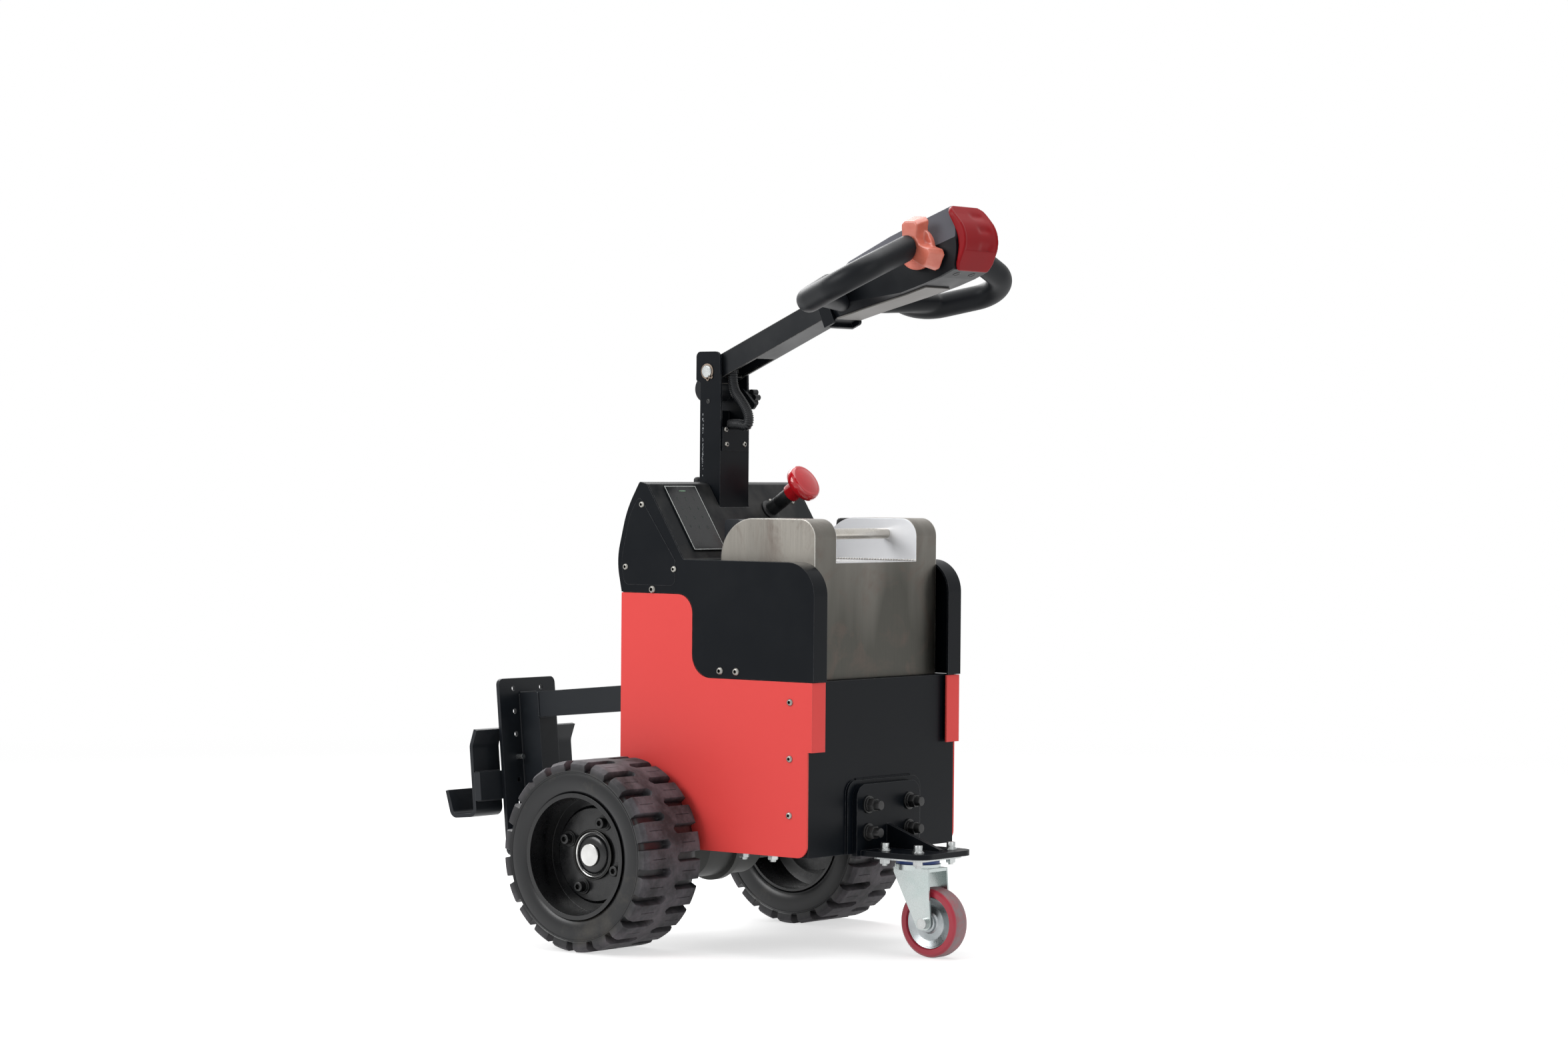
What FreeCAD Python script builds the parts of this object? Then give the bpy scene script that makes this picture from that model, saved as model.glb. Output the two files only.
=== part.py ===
import FreeCAD, Part
import math
import os
from FreeCAD import Vector

# Electric tow tractor, walked behind. Millimetres, +Z up, floor at z = 0.
# +X points to the operator's end (caster, battery, tiller head), -X to the hitch.
# "right" is -Y and "left" is +Y. The origin is under the middle of the bounding box.

# ---------------------------------------------------------------- driving sizes
# fits
run_gap = 0.05            # radial clearance of a shaft that turns
seat_gap = 0.3            # gap between a piece and what carries it
move_gap = 6.0            # clearance round pieces that swing
sheet = 3.0               # body sheet steel

# drive wheels
axle_x = -32.0            # drive axle, from the origin
tyre_od = 280.0
tyre_width = 127.0
tyre_bore_r = 90.0
bead_in = 5.0             # the bead's toe, in from the sidewall
bead_out = 7.0            # bead's edge, out from the bore
bulge_out = 18.0          # widest ring of the sidewall, out from the bore
bulge_in = 3.0            # bead and shoulder, in from the bulge
shoulder_down = 17.0      # tread to where the sidewall meets the lugs
lug_count = 21            # in each of the two rows
lug_share = 0.6           # lug along the tread, as a share of the pitch
lug_depth = 12.0
lug_chamfer = 7.0         # slanted outer end of a lug, across the tread
lug_chamfer_drop = 5.0
tread_rib = 6.0           # half the width of the rib between the rows
groove_draft = 4.0        # slant of a groove's end at the rib
rim_wall = 4.0
rim_lip_r = 92.5
rim_lip_wide = 2.5
rim_lip_in = 1.0
rim_dish = 46.0           # outer rim edge in to the wheel disc
disc_thick = 8.0
disc_bore_r = 25.0
disc_flat_r = 68.0        # flat middle of the wheel disc
disc_step = 4.0           # the disc's rim lies this much deeper
hub_r = 37.0
hub_flange_r = 62.0
hub_flange_thick = 6.0
hub_nose = 5.0
hub_dome_r = 29.0
hub_dome_out = 3.0
cap_r = 17.0
cap_len = 4.0
wheel_bolt_pcd_r = 52.0
wheel_bolt_r = 7.0
wheel_bolt_head_r = 8.0
wheel_bolt_head = 11.0
wheel_bolt_turn = 67.0    # first bolt, degrees from +X
washer_r = 12.0
washer_thick = 3.0
wheel_bolt_count = 4
axle_shaft_r = 20.0
wheel_side_gap = 9.0      # side panel to tyre

# body
half_width = 178.0
body_back = -29.0         # hitch end of the body, from the axle
body_front = 325.0        # caster end of the body, from the axle
body_bottom = 149.0
shelf_z = 402.0           # battery shelf, and the seam of the side sheets
deck_z = 523.0            # top of the red panels under the console
step_x = 109.0            # where the seam steps down to the shelf, from the axle
step_top_r = 28.0
step_bottom_r = 34.0
lip_out = 8.0             # end flanges stand out past the body
lip_width = 31.0
lip_low_z = 301.0
panel_corner_r = 18.0
axle_notch_r = 42.0
seam = 1.0
frame_wall = 4.0
backing_thick = 4.0       # plate behind the caster bracket
backing_half = 88.0
backing_top_z = 256.0
backing_corner_r = 20.0

# battery shroud
shroud_top_z = 573.0
shroud_corner_r = 48.0
shroud_out = 10.0         # past the body's caster end

# console
console_top_z = 687.0
ridge_back = 5.0          # both from the axle
ridge_front = 19.0
ridge_drop = 4.0
slope_foot = 90.0
console_bulge_x = -39.0
console_bulge_z = 570.0
console_shoulder_x = -20.0
console_shoulder_z = 645.0
console_back_r = 200.0    # bend radius at the bulge and the shoulder, or as much as fits
keypad_width = 73.0
keypad_length = 113.0
keypad_thick = 2.0
keypad_y = -108.0
keypad_corner_r = 4.0
keypad_up = 60.0          # keypad centre, down the slope from the ridge
knob_dome_r = 7.5
gland_y = -26.0
gland_up = 7.0            # gland's top above the console

# battery pack
battery_front = 311.0
battery_back = 122.0
battery_side_gap = 0.5    # battery to the shroud's top flange
battery_under = 1.0       # battery's top below the shroud's
ear_top_z = 635.0
ear_width = 50.0
ear_back = 136.0
ear_back_r = 60.0
ear_front_r = 27.0
battery_handle_r = 8.0
battery_handle_in = 57.0
battery_handle_down = 23.0
connector_back = 100.0
connector_front = 132.0
connector_high = 59.0
connector_y = -73.0
connector_wide = 44.0
connector_r = 8.0
isolator_x = 128.0
isolator_r = 15.0
isolator_high = 60.0

# emergency stop
stop_y = 80.0
stop_up = 47.0            # down the slope from the ridge
stop_stalk_r = 11.0
stop_stalk_len = 48.0
stop_neck_r = 14.0
stop_neck_len = 20.0
stop_head_r = 29.0
stop_head_len = 22.0

# column and tiller
column_depth = 40.0       # along X
column_half_width = 34.0
column_wall = 4.0
column_top_z = 795.0
column_window_z = 769.0
cover_height = 35.5
cover_thick = 2.0
cover_inset = 3.0
ear_plate_back = -8.0     # pivot ears, from the axle
ear_plate_front = 38.0
ear_plate_low_z = 838.0
ear_guard_back = -13.0    # the left ear reaches lower and further back, beside the open top
ear_guard_low_z = 788.0
ear_plate_top_z = 883.0
pivot_x = 14.0            # tiller pivot, from the axle
pivot_z = 853.0
pivot_pin_r = 9.0
pivot_pin_stand = 4.0
tiller_angle = 23.5
tiller_width = 50.0
tiller_height = 33.0
tiller_wall = 3.0
tiller_tail = 20.0
tiller_reach = 229.0      # pivot to the head bracket
tiller_slot_start = 17.0  # slot under the tube for the conduit, from the pivot
tiller_slot_end = 85.0
tiller_slot_half = 21.0
tail_disc_r = 20.0
tail_disc_drop = 30.5
tail_disc_half = 20.0
tail_disc_lean = 55.0

conduit_r = 7.0
conduit_y = -12.0

# handle head: s runs along the tiller from its pivot, n up from its axis
head_plate = 5.0
root_half_width = 28.7    # the head's root, between the bracket's cheeks
bracket_cheek = 15.0      # the cheeks' reach past the web
bracket_low_n = -32.0
bracket_cheek_top_n = 10.0
root_low_n = -26.0
collar_s = 455.0
collar_half_width = 46.0
collar_split_n = -10.0    # the collar's widest line
collar_low_n = -55.0
collar_top_n = 37.0
collar_top_half = 24.0
head_nose_s = 508.0       # where the head's end would come to a point, before its bend
head_nose_n = -18.3
head_nose_r = 75.0
head_nose_top_s = 500.4
head_nose_low_s = 480.0
head_cover_start = 252.0
head_cover_end = 418.0
head_cover_half = 29.0
head_cover_thick = 2.5

grip_r = 18.5
grip_root_r = 14.0        # lower spar at the loop's root
grip_front_r = 46.0       # bend radii of the loop
grip_back_r = 95.0
grip_web_half = 11.0      # half the thickness of the web between the two spars
shaft_r = 8.0             # throttle shaft
throttle_s = 441.0
throttle_n = -4.0
throttle_r = 30.5
throttle_stand = 3.0      # head wall to throttle disc
throttle_disc = 8.0
throttle_wing_out = 18.0  # the wings stand out past the disc
throttle_wing = 47.0      # wing tip from the shaft
throttle_wing_root = 13.0
throttle_wing_half = 17.0
throttle_wing_angles = (64.0, -48.0)
throttle_boss_r = 19.0
throttle_to_grip = 2.0
belly_half_width = 41.5
belly_out = 18.0          # how far its outer face would come to a point before the head's end
belly_bend_r = 75.0       # and how roundly it is bent, which leaves it 13 mm thick
belly_high = 36.0         # its top and bottom, from the tiller's axis
belly_low = -59.0
belly_crown_r = 146.0     # its top edge is crowned across
belly_round = 14.0        # its corners

# hitch
hitch_droop = 5.4         # rest angle of the arm below level
hitch_pivot_x = 45.0      # from the axle
hitch_pivot_z = 371.5
hitch_tube = 40.0
hitch_tube_wall = 4.0
hitch_reach = 383.0       # pivot to the post's face
hitch_plate_half = 65.0
hitch_plate_thick = 6.0
hitch_plate_over = 23.5
hitch_plate_height = 276.0
hitch_hole_r = 4.2
hitch_hole_pitch = 35.8
hitch_hole_rows = 7
hitch_hole_y = 32.0
hitch_hole_down = 16.0
cross_bar_thick = 12.0
cross_bar_height = 44.0
cross_bar_drop = 143.0    # plate top down to the bar's top
hook_outer = 115.0
hook_width = 60.0
hook_plate = 6.0
hook_mouth = 42.0
hook_above = 65.0
hook_below = 25.0
hook_lip = 44.0
hitch_pin_r = 8.0
hitch_slot_down = 45.0    # the arm's slot in the frame, below the pivot
clevis_reach = 30.0       # clevis plates round the pivot
clevis_front = 20.0
floor_gap = 13.0          # open floor past the transaxle

# caster
caster_x = 391.0          # swivel axis, from the axle
caster_trail = 30.0
caster_od = 102.0
caster_width = 32.0
caster_hub_r = 38.0
caster_axle_r = 5.0
caster_plate_z = 142.0
caster_plate_thick = 4.0
caster_plate_x = 90.0
caster_plate_y = 105.0
caster_bolt_x = 60.0
caster_bolt_y = 80.0
fork_sheet = 3.0
fork_gap = 5.2            # wheel to fork side
bearing_r = 32.0
bearing_high = 7.0
bracket_thick = 8.0
bracket_half = 76.0
bracket_high = 250.0
bracket_out = 448.0       # from the axle
bracket_bolt_y = 49.0
bracket_bolt_z = (180.0, 220.0)
bracket_foot_in = 10.0    # the foot is narrower than the upright
gusset_thick = 8.0
gusset_high = 44.0
cap_screw_r = 9.0
cap_screw_head = 13.0
cap_screw_washer_r = 13.0

# transaxle
transaxle_r = 50.0
transaxle_half = 62.0
transaxle_flange_r = 57.0
transaxle_flange = 12.0
transaxle_bell = 34.0     # each cone from the housing down to its axle tube
axle_tube_r = 32.0
axle_tube_in = 8.0        # tube end to the outside of the side panel
axle_shaft_in = 20.0

# ---------------------------------------------------------------- worked-out places
axle_z = tyre_od / 2
shoulder_r = tyre_od / 2 - shoulder_down
bulge_r = tyre_bore_r + bulge_out
bead_r = tyre_bore_r + bead_out
tyre_in = half_width + wheel_side_gap
tyre_out = tyre_in + tyre_width
disc_out = tyre_out - rim_dish
inner_y = half_width - sheet
battery_half_width = half_width - lip_width - battery_side_gap
battery_top_z = shroud_top_z - battery_under
battery_handle_z = ear_top_z - battery_handle_down


def X(from_axle):
    """Row x of a distance from the drive axle."""
    return axle_x + from_axle


slope_run = slope_foot - ridge_front
slope_fall = console_top_z - ridge_drop - shroud_top_z
slope_len = math.hypot(slope_run, slope_fall)
slope_dir = Vector(slope_run / slope_len, 0, -slope_fall / slope_len)
slope_normal = Vector(slope_fall / slope_len, 0, slope_run / slope_len)
ridge_point = Vector(X(ridge_front), 0, console_top_z - ridge_drop)
pivot = Vector(X(pivot_x), 0, pivot_z)
hitch_pivot = Vector(X(hitch_pivot_x), 0, hitch_pivot_z)
Y_AXIS = Vector(0, 1, 0)


# ---------------------------------------------------------------- helpers
def block(x0, x1, y0, y1, z0, z1):
    return Part.makeBox(x1 - x0, y1 - y0, z1 - z0, Vector(x0, y0, z0))


def rod(r, start, end):
    return Part.makeCylinder(r, (end - start).Length, start, end - start)


def rod_y(r, x, z, y0, y1):
    return Part.makeCylinder(r, y1 - y0, Vector(x, y0, z), Y_AXIS)


def fuse(shapes):
    body = shapes[0].multiFuse(shapes[1:]) if len(shapes) > 1 else shapes[0]
    return body.removeSplitter()


def outline(points):
    """A closed wire in the XZ plane. A point (x, z, r) has its corner rounded to r."""
    count = len(points)
    edges = []
    ends = []
    for i in range(count):
        here = Vector(points[i][0], 0, points[i][1])
        before = Vector(points[i - 1][0], 0, points[i - 1][1])
        after = Vector(points[(i + 1) % count][0], 0, points[(i + 1) % count][1])
        r = points[i][2] if len(points[i]) > 2 else 0.0
        if r <= 0:
            ends.append((here, here, None))
            continue
        u = (before - here).normalize()
        v = (after - here).normalize()
        half = u.getAngle(v) / 2
        reach = min(r / math.tan(half), 0.49 * (before - here).Length, 0.49 * (after - here).Length)
        r = reach * math.tan(half)
        centre = here + (u + v).normalize() * (r / math.sin(half))
        middle = centre + (here - centre).normalize() * r
        ends.append((here + u * reach, here + v * reach, middle))
    for i in range(count):
        start, stop, middle = ends[i]
        if middle is not None:
            edges.append(Part.Arc(start, middle, stop).toShape())
        following = ends[(i + 1) % count][0]
        if (following - stop).Length > 1e-6:
            edges.append(Part.makeLine(stop, following))
    return Part.Wire(edges)


def slab(points, y0, y1):
    """The outline, filled and run along Y from y0 to y1."""
    face = Part.Face(outline(points))
    face.translate(Vector(0, y0, 0))
    return face.extrude(Vector(0, y1 - y0, 0))


def ring_y(profile, x, z):
    """Turn a closed (r, y) profile round the Y axis through x, z."""
    points = [Vector(x + r, y, z) for r, y in profile]
    wire = Part.makePolygon(points + points[:1])
    return Part.Face(wire).revolve(Vector(x, 0, z), Y_AXIS, 360)


def rounded_path(points, radii):
    """Straight runs through the points, joined by tangent arcs of the radii, or as much as the runs allow."""
    edges = []
    start = points[0]
    for i in range(1, len(points) - 1):
        here = points[i]
        u = (points[i - 1] - here).normalize()
        v = (points[i + 1] - here).normalize()
        half = u.getAngle(v) / 2
        room = 0.45 * min((points[i - 1] - here).Length, (points[i + 1] - here).Length)
        reach = min(radii[i - 1] / math.tan(half), room)
        r = reach * math.tan(half)
        centre = here + (u + v).normalize() * (r / math.sin(half))
        middle = centre + (here - centre).normalize() * r
        edges.append(Part.makeLine(start, here + u * reach))
        edges.append(Part.Arc(here + u * reach, middle, here + v * reach).toShape())
        start = here + v * reach
    edges.append(Part.makeLine(start, points[-1]))
    return Part.Wire(edges)


def mirror(shape):
    """The same piece on the left side."""
    return shape.mirror(Vector(0, 0, 0), Y_AXIS)


def on_tiller(s, y, n):
    """A point s along the tiller from its pivot, n above its axis."""
    a = math.radians(tiller_angle)
    return pivot + Vector(s * math.cos(a) - n * math.sin(a), y, s * math.sin(a) + n * math.cos(a))


def tilt_tiller(shape):
    shape.rotate(pivot, Y_AXIS, -tiller_angle)
    return shape


def droop_hitch(shape):
    shape.rotate(hitch_pivot, Y_AXIS, -hitch_droop)
    return shape


def loft(sections):
    wires = [Part.makePolygon(s + s[:1]) for s in sections]
    return Part.makeLoft(wires, True, True)


# ---------------------------------------------------------------- drive wheels
def tyre_row(side, lug):
    """One half of the tread profile as (r, y), from the rib to the shoulder, over a lug or a groove."""
    middle = -(tyre_in + tyre_out) / 2
    face = middle + side * tyre_width / 2
    r = tyre_od / 2
    rib = (r, middle + side * tread_rib)
    if lug:
        return [rib, (r, face - side * lug_chamfer), (r - lug_chamfer_drop, face), (shoulder_r, face)]
    low = r - lug_depth
    return [rib, (low, middle + side * (tread_rib + groove_draft)), (low, face - side), (shoulder_r, face)]


def tyre_side(side):
    """One sidewall as (r, y), from the shoulder down to the bead's toe, whose flats touch the rim."""
    face = -(tyre_in + tyre_out) / 2 + side * tyre_width / 2
    widest = 2 * math.pi / lug_count * max(lug_share - 0.1, 1 - lug_share)
    toe_r = tyre_bore_r / math.cos(widest / 2)
    return [(bulge_r, face), (bead_r, face - side * bulge_in), (toe_r, face - side * bead_in)]


def tyre():
    """A solid tyre with two rows of lugs, half a pitch apart, built from flat facets."""
    pitch = 2 * math.pi / lug_count
    breaks = sorted({0.0, lug_share, 0.5, (0.5 + lug_share) % 1.0})
    profiles = []
    angles = []
    for i in range(lug_count):
        for j, start in enumerate(breaks):
            end = breaks[j + 1] if j + 1 < len(breaks) else 1.0
            middle = (start + end) / 2
            outer = tyre_row(-1, middle < lug_share)
            inner = tyre_row(1, (middle + 0.5) % 1.0 < lug_share)
            profiles.append(outer + tyre_side(-1) + tyre_side(1)[::-1] + inner[::-1])
            angles.append((i + start) * pitch - math.pi / 2)

    def place(point, angle):
        return Vector(X(0) + point[0] * math.cos(angle), point[1], axle_z + point[0] * math.sin(angle))

    faces = []
    count = len(profiles)
    row = len(tyre_row(1, True))
    for i, profile in enumerate(profiles):
        a = angles[i]
        b = angles[(i + 1) % count]
        for j in range(len(profile)):
            p = profile[j]
            q = profile[(j + 1) % len(profile)]
            corners = [place(p, a), place(q, a), place(q, b), place(p, b)]
            faces.append(Part.Face(Part.makePolygon(corners + corners[:1])))
        before = profiles[i - 1]
        for rows in (slice(0, row), slice(len(profile) - row, len(profile))):
            if before[rows] == profile[rows]:
                continue
            step = before[rows] + profile[rows][-2:0:-1]
            corners = [place(p, a) for p in step]
            faces.append(Part.Face(Part.makePolygon(corners + corners[:1])))
    shell = Part.makeShell(faces)
    shell.sewShape()
    solid = Part.makeSolid(shell)
    if solid.Volume < 0:
        solid.reverse()
    return solid


def rim():
    inside = tyre_bore_r - rim_wall
    edge = -tyre_out + rim_lip_in
    barrel = [
        (inside, -tyre_in - bead_in),
        (tyre_bore_r, -tyre_in - bead_in),
        (tyre_bore_r, edge + rim_lip_wide),
        (rim_lip_r, edge + rim_lip_wide),
        (rim_lip_r, edge),
        (inside, edge),
    ]
    disc = [
        (disc_bore_r, -disc_out),
        (disc_flat_r, -disc_out),
        (disc_flat_r + disc_step, -disc_out + disc_step),
        (inside + 1, -disc_out + disc_step),
        (inside + 1, -disc_out + disc_step + disc_thick),
        (disc_flat_r, -disc_out + disc_thick),
        (disc_bore_r, -disc_out + disc_thick),
    ]
    wheel = fuse([ring_y(barrel, X(0), axle_z), ring_y(disc, X(0), axle_z)])
    for place in wheel_bolt_places():
        wheel = wheel.cut(rod_y(wheel_bolt_r, place.x, place.z, -disc_out - 1, -disc_out + disc_thick + 1))
    return wheel


def wheel_bolt_places():
    places = []
    for i in range(wheel_bolt_count):
        a = math.radians(wheel_bolt_turn + i * 360 / wheel_bolt_count)
        across, up = wheel_bolt_pcd_r * math.cos(a), wheel_bolt_pcd_r * math.sin(a)
        places.append(Vector(X(0) + across, 0, axle_z + up))
    return places


def hub():
    """The drive hub: shaft, flange behind the wheel disc, nose and dome before it, and its bolts."""
    shaft_end = -half_width + axle_shaft_in
    back = -disc_out + disc_thick
    nose = -disc_out - hub_nose
    dome = Part.makeCone(hub_dome_r, hub_dome_r - hub_dome_out, hub_dome_out,
                         Vector(X(0), nose, axle_z), -Y_AXIS)
    pieces = [
        rod_y(axle_shaft_r, X(0), axle_z, nose, shaft_end),
        rod_y(disc_bore_r, X(0), axle_z, nose, back),
        rod_y(hub_r, X(0), axle_z, nose, -disc_out),
        dome,
        rod_y(hub_flange_r, X(0), axle_z, back, back + hub_flange_thick),
    ]
    face = -disc_out - washer_thick
    for place in wheel_bolt_places():
        pieces.append(rod_y(wheel_bolt_r, place.x, place.z, face, back + 1))
        pieces.append(rod_y(washer_r, place.x, place.z, face, -disc_out))
        pieces.append(rod_y(wheel_bolt_head_r, place.x, place.z, face - wheel_bolt_head, face))
    return fuse(pieces)


def axle_cap():
    start = -disc_out - hub_nose - hub_dome_out
    cap = rod_y(cap_r, X(0), axle_z, start - cap_len, start)
    return cap.makeFillet(cap_r / 10, cap.Edges[:1] + cap.Edges[2:3])


# ---------------------------------------------------------------- transaxle and frame
def transaxle():
    """The drive unit's casting: a flanged housing that narrows to an axle tube at each side."""
    tube_end = half_width - axle_tube_in
    centre = Vector(X(0), 0, axle_z)
    pieces = [
        rod_y(transaxle_r, X(0), axle_z, -transaxle_half, transaxle_half),
        rod_y(transaxle_flange_r, X(0), axle_z, -transaxle_flange / 2, transaxle_flange / 2),
        rod_y(axle_tube_r, X(0), axle_z, -tube_end, tube_end),
    ]
    for side in (-1, 1):
        start = centre + Y_AXIS * (side * transaxle_half)
        pieces.append(Part.makeCone(transaxle_r, axle_tube_r, transaxle_bell, start, Y_AXIS * side))
    body = fuse(pieces)
    shaft_end = half_width - axle_shaft_in - 1
    for side in (-1, 1):
        bore = rod(axle_shaft_r + run_gap, centre + Y_AXIS * (side * shaft_end),
                   centre + Y_AXIS * (side * (tube_end + 1)))
        body = body.cut(bore)
    return body


def chassis():
    """The welded frame: an open-topped tub with the shelf, the hitch clevis and the axle notches."""
    y = inner_y - seat_gap
    x0 = X(body_back)
    x1 = X(body_front)
    shell = block(x0, x1, -y, y, body_bottom, shelf_z - seat_gap)
    inside = block(x0 + frame_wall, x1 - frame_wall, -y + frame_wall, y - frame_wall,
                   body_bottom + frame_wall, shelf_z - frame_wall - seat_gap)
    shell = shell.cut(inside)
    open_floor = block(x0 - 1, X(transaxle_flange_r + floor_gap), -y - 1, y + 1,
                       body_bottom - 1, body_bottom + frame_wall + 1)
    arm = hitch_tube / 2 + move_gap
    slot = block(x0 - 1, x0 + frame_wall + 1, -arm, arm, hitch_pivot_z - hitch_slot_down,
                 shelf_z - seat_gap - frame_wall)
    notch = rod_y(axle_tube_r + seat_gap, X(0), axle_z, -y - 1, y + 1)
    reach = transaxle_half + transaxle_bell + seat_gap
    housing = rod_y(transaxle_flange_r + seat_gap, X(0), axle_z, -reach, reach)
    shell = shell.cut(open_floor).cut(slot).cut(notch).cut(housing)
    cheek_out = hitch_tube / 2 + move_gap + frame_wall
    ears = []
    for side in (-1, 1):
        y0 = min(side * cheek_out, side * (cheek_out - frame_wall))
        cheek = slab([
            (hitch_pivot.x - clevis_reach, hitch_pivot_z - clevis_reach),
            (X(step_x + clevis_front), hitch_pivot_z - clevis_reach),
            (X(step_x + clevis_front), shelf_z - frame_wall - seat_gap + 1),
            (hitch_pivot.x - clevis_reach, shelf_z - frame_wall - seat_gap + 1),
        ], y0, y0 + frame_wall)
        ears.append(cheek.cut(rod_y(hitch_pin_r + run_gap, hitch_pivot.x, hitch_pivot_z,
                                    -cheek_out - 1, cheek_out + 1)))
    backing = block(x1 - 1, x1 + backing_thick, -backing_half, backing_half, body_bottom, backing_top_z)
    top_corners = [e for e in backing.Edges if e.BoundBox.ZMin > backing_top_z - 1 and e.BoundBox.YLength < 1]
    backing = backing.makeFillet(backing_corner_r, top_corners)
    return fuse([shell, backing] + ears)


def frame_front():
    """The sheet that closes the hitch end from the frame up to the console."""
    y = inner_y - seat_gap
    return block(X(body_back), X(body_back) + frame_wall, -y, y, shelf_z, deck_z + 2)


# ---------------------------------------------------------------- red side panels
def seam_line(clear):
    """The stepped seam between the red panel and the black sheet, from the back, lowered by clear."""
    return [
        (X(step_x) - clear, deck_z - clear, step_top_r),
        (X(step_x) - clear, shelf_z - clear, step_bottom_r),
    ]


def side_panel():
    low = body_bottom
    points = [
        (X(body_back), low),
        (X(body_back), deck_z - seam),
    ] + seam_line(seam) + [
        (X(body_front + lip_out), shelf_z - seam),
        (X(body_front + lip_out), lip_low_z),
        (X(body_front), lip_low_z),
        (X(body_front), low, panel_corner_r),
    ]
    panel = slab(points, -half_width, -inner_y)
    lip = block(X(body_front + lip_out - sheet), X(body_front + lip_out), -half_width,
                -half_width + lip_width, lip_low_z, shelf_z - seam)
    panel = fuse([panel, lip])
    notch = rod_y(axle_notch_r, X(0), axle_z, -half_width - 1, -inner_y + 1)
    return panel.cut(notch)


# ---------------------------------------------------------------- battery shroud and console
def shroud_side():
    """One bent sheet: the console's cheek and the battery's side, with a flange round its top and end."""
    end = X(body_front + shroud_out)
    top = shroud_top_z
    points = [
        (X(body_back), deck_z),
    ] + console_back()[1:] + [
        (end, top, shroud_corner_r),
        (end, shelf_z),
        (X(step_x), shelf_z, step_bottom_r),
        (X(step_x), deck_z, step_top_r),
    ]
    cheek = slab(points, -half_width, -inner_y)
    inner_r = shroud_corner_r - sheet
    start = X(battery_back) - 5
    band = slab([
        (start, top),
        (end, top, shroud_corner_r),
        (end, shelf_z),
        (end - sheet, shelf_z),
        (end - sheet, top - sheet, inner_r),
        (start, top - sheet),
    ], -half_width, -half_width + lip_width)
    return fuse([cheek, band])


def console_back():
    """The console's outside from the frame up its bulging back, over the ridge and down the slope."""
    return [
        (X(body_back), deck_z + sheet),
        (X(console_bulge_x), console_bulge_z, console_back_r),
        (X(console_shoulder_x), console_shoulder_z, console_back_r),
        (X(ridge_back), console_top_z, 4),
        (X(ridge_front), console_top_z - ridge_drop, 4),
        (X(slope_foot), shroud_top_z, 4),
    ]


def console_shell():
    """The console's back, ridge and slope, bent from one sheet between the two cheeks."""
    front = X(battery_back) - move_gap
    low = deck_z + sheet
    y = inner_y - seat_gap
    outside = Part.Face(outline(console_back() + [(front, shroud_top_z), (front, low)]))
    inside = outside.makeOffset2D(-sheet)
    outside.translate(Vector(0, -y, 0))
    inside.translate(Vector(0, -y - 1, 0))
    shell = outside.extrude(Vector(0, 2 * y, 0)).cut(inside.extrude(Vector(0, 2 * y + 2, 0)))
    open_low = block(X(body_back) + sheet, front + 1, -y - 1, y + 1, low - 1, low + sheet + 0.5)
    open_front = block(front - sheet - 0.5, front + 1, -y - 1, y + 1, low - 1, shroud_top_z - sheet)
    hole = block(X(-1), X(column_depth + 1), -column_half_width - 1, column_half_width + 1,
                 shroud_top_z + 5, console_top_z + 10)
    return shell.cut(open_low).cut(open_front).cut(hole)


def on_slope(down, y, out):
    """A point on the console's slope: down from the ridge, across at y, out along its normal."""
    return ridge_point + slope_dir * down + slope_normal * out + Vector(0, y, 0)


def keypad():
    plate = Part.makeBox(keypad_length, keypad_width, keypad_thick)
    plate = plate.makeFillet(keypad_corner_r,
                             [e for e in plate.Edges if abs(e.BoundBox.ZLength - keypad_thick) < 0.01])
    plate.translate(Vector(-keypad_length / 2, -keypad_width / 2, 0))
    place = FreeCAD.Placement()
    angle = math.degrees(math.atan2(slope_fall, slope_run))
    place.Rotation = FreeCAD.Rotation(Y_AXIS, angle)
    place.Base = on_slope(keypad_up, keypad_y, 0)
    plate.Placement = place.multiply(plate.Placement)
    return plate


def cable_gland():
    """A rubber gland on the console's back, beside the column."""
    x = X(0) - knob_dome_r - 1
    gland = rod(knob_dome_r, Vector(x, gland_y, console_shoulder_z - 20),
                Vector(x, gland_y, console_top_z + gland_up))
    gland = gland.makeFillet(knob_dome_r * 2 / 3, gland.Edges[:1])
    return gland.cut(slab(console_back(), gland_y - 3 * knob_dome_r, gland_y + 3 * knob_dome_r))


def stop_stalk():
    return rod(stop_stalk_r, on_slope(stop_up, stop_y, 0), on_slope(stop_up, stop_y, stop_stalk_len))


def stop_button():
    neck = rod(stop_neck_r, on_slope(stop_up, stop_y, stop_stalk_len),
               on_slope(stop_up, stop_y, stop_stalk_len + stop_neck_len))
    head = rod(stop_head_r, on_slope(stop_up, stop_y, stop_stalk_len + stop_neck_len),
               on_slope(stop_up, stop_y, stop_stalk_len + stop_neck_len + stop_head_len))
    head = head.makeFillet(stop_head_len * 0.4, head.Edges[:1] + head.Edges[2:3])
    return fuse([neck, head])


# ---------------------------------------------------------------- battery pack
def battery_pack():
    x0 = X(battery_back)
    x1 = X(battery_front)
    w = battery_half_width
    pieces = [block(x0, x1, -w, w, shelf_z + seat_gap, battery_top_z)]
    for y0 in (-w, w - ear_width):
        pieces.append(slab([
            (X(ear_back), shelf_z + sheet),
            (X(ear_back), ear_top_z, ear_back_r),
            (x1, ear_top_z, ear_front_r),
            (x1, shelf_z + sheet),
        ], y0, y0 + ear_width))
    return fuse(pieces)


def battery_handle():
    reach = battery_half_width - ear_width
    return rod_y(battery_handle_r, X(battery_front - battery_handle_in), battery_handle_z, -reach, reach)


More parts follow.
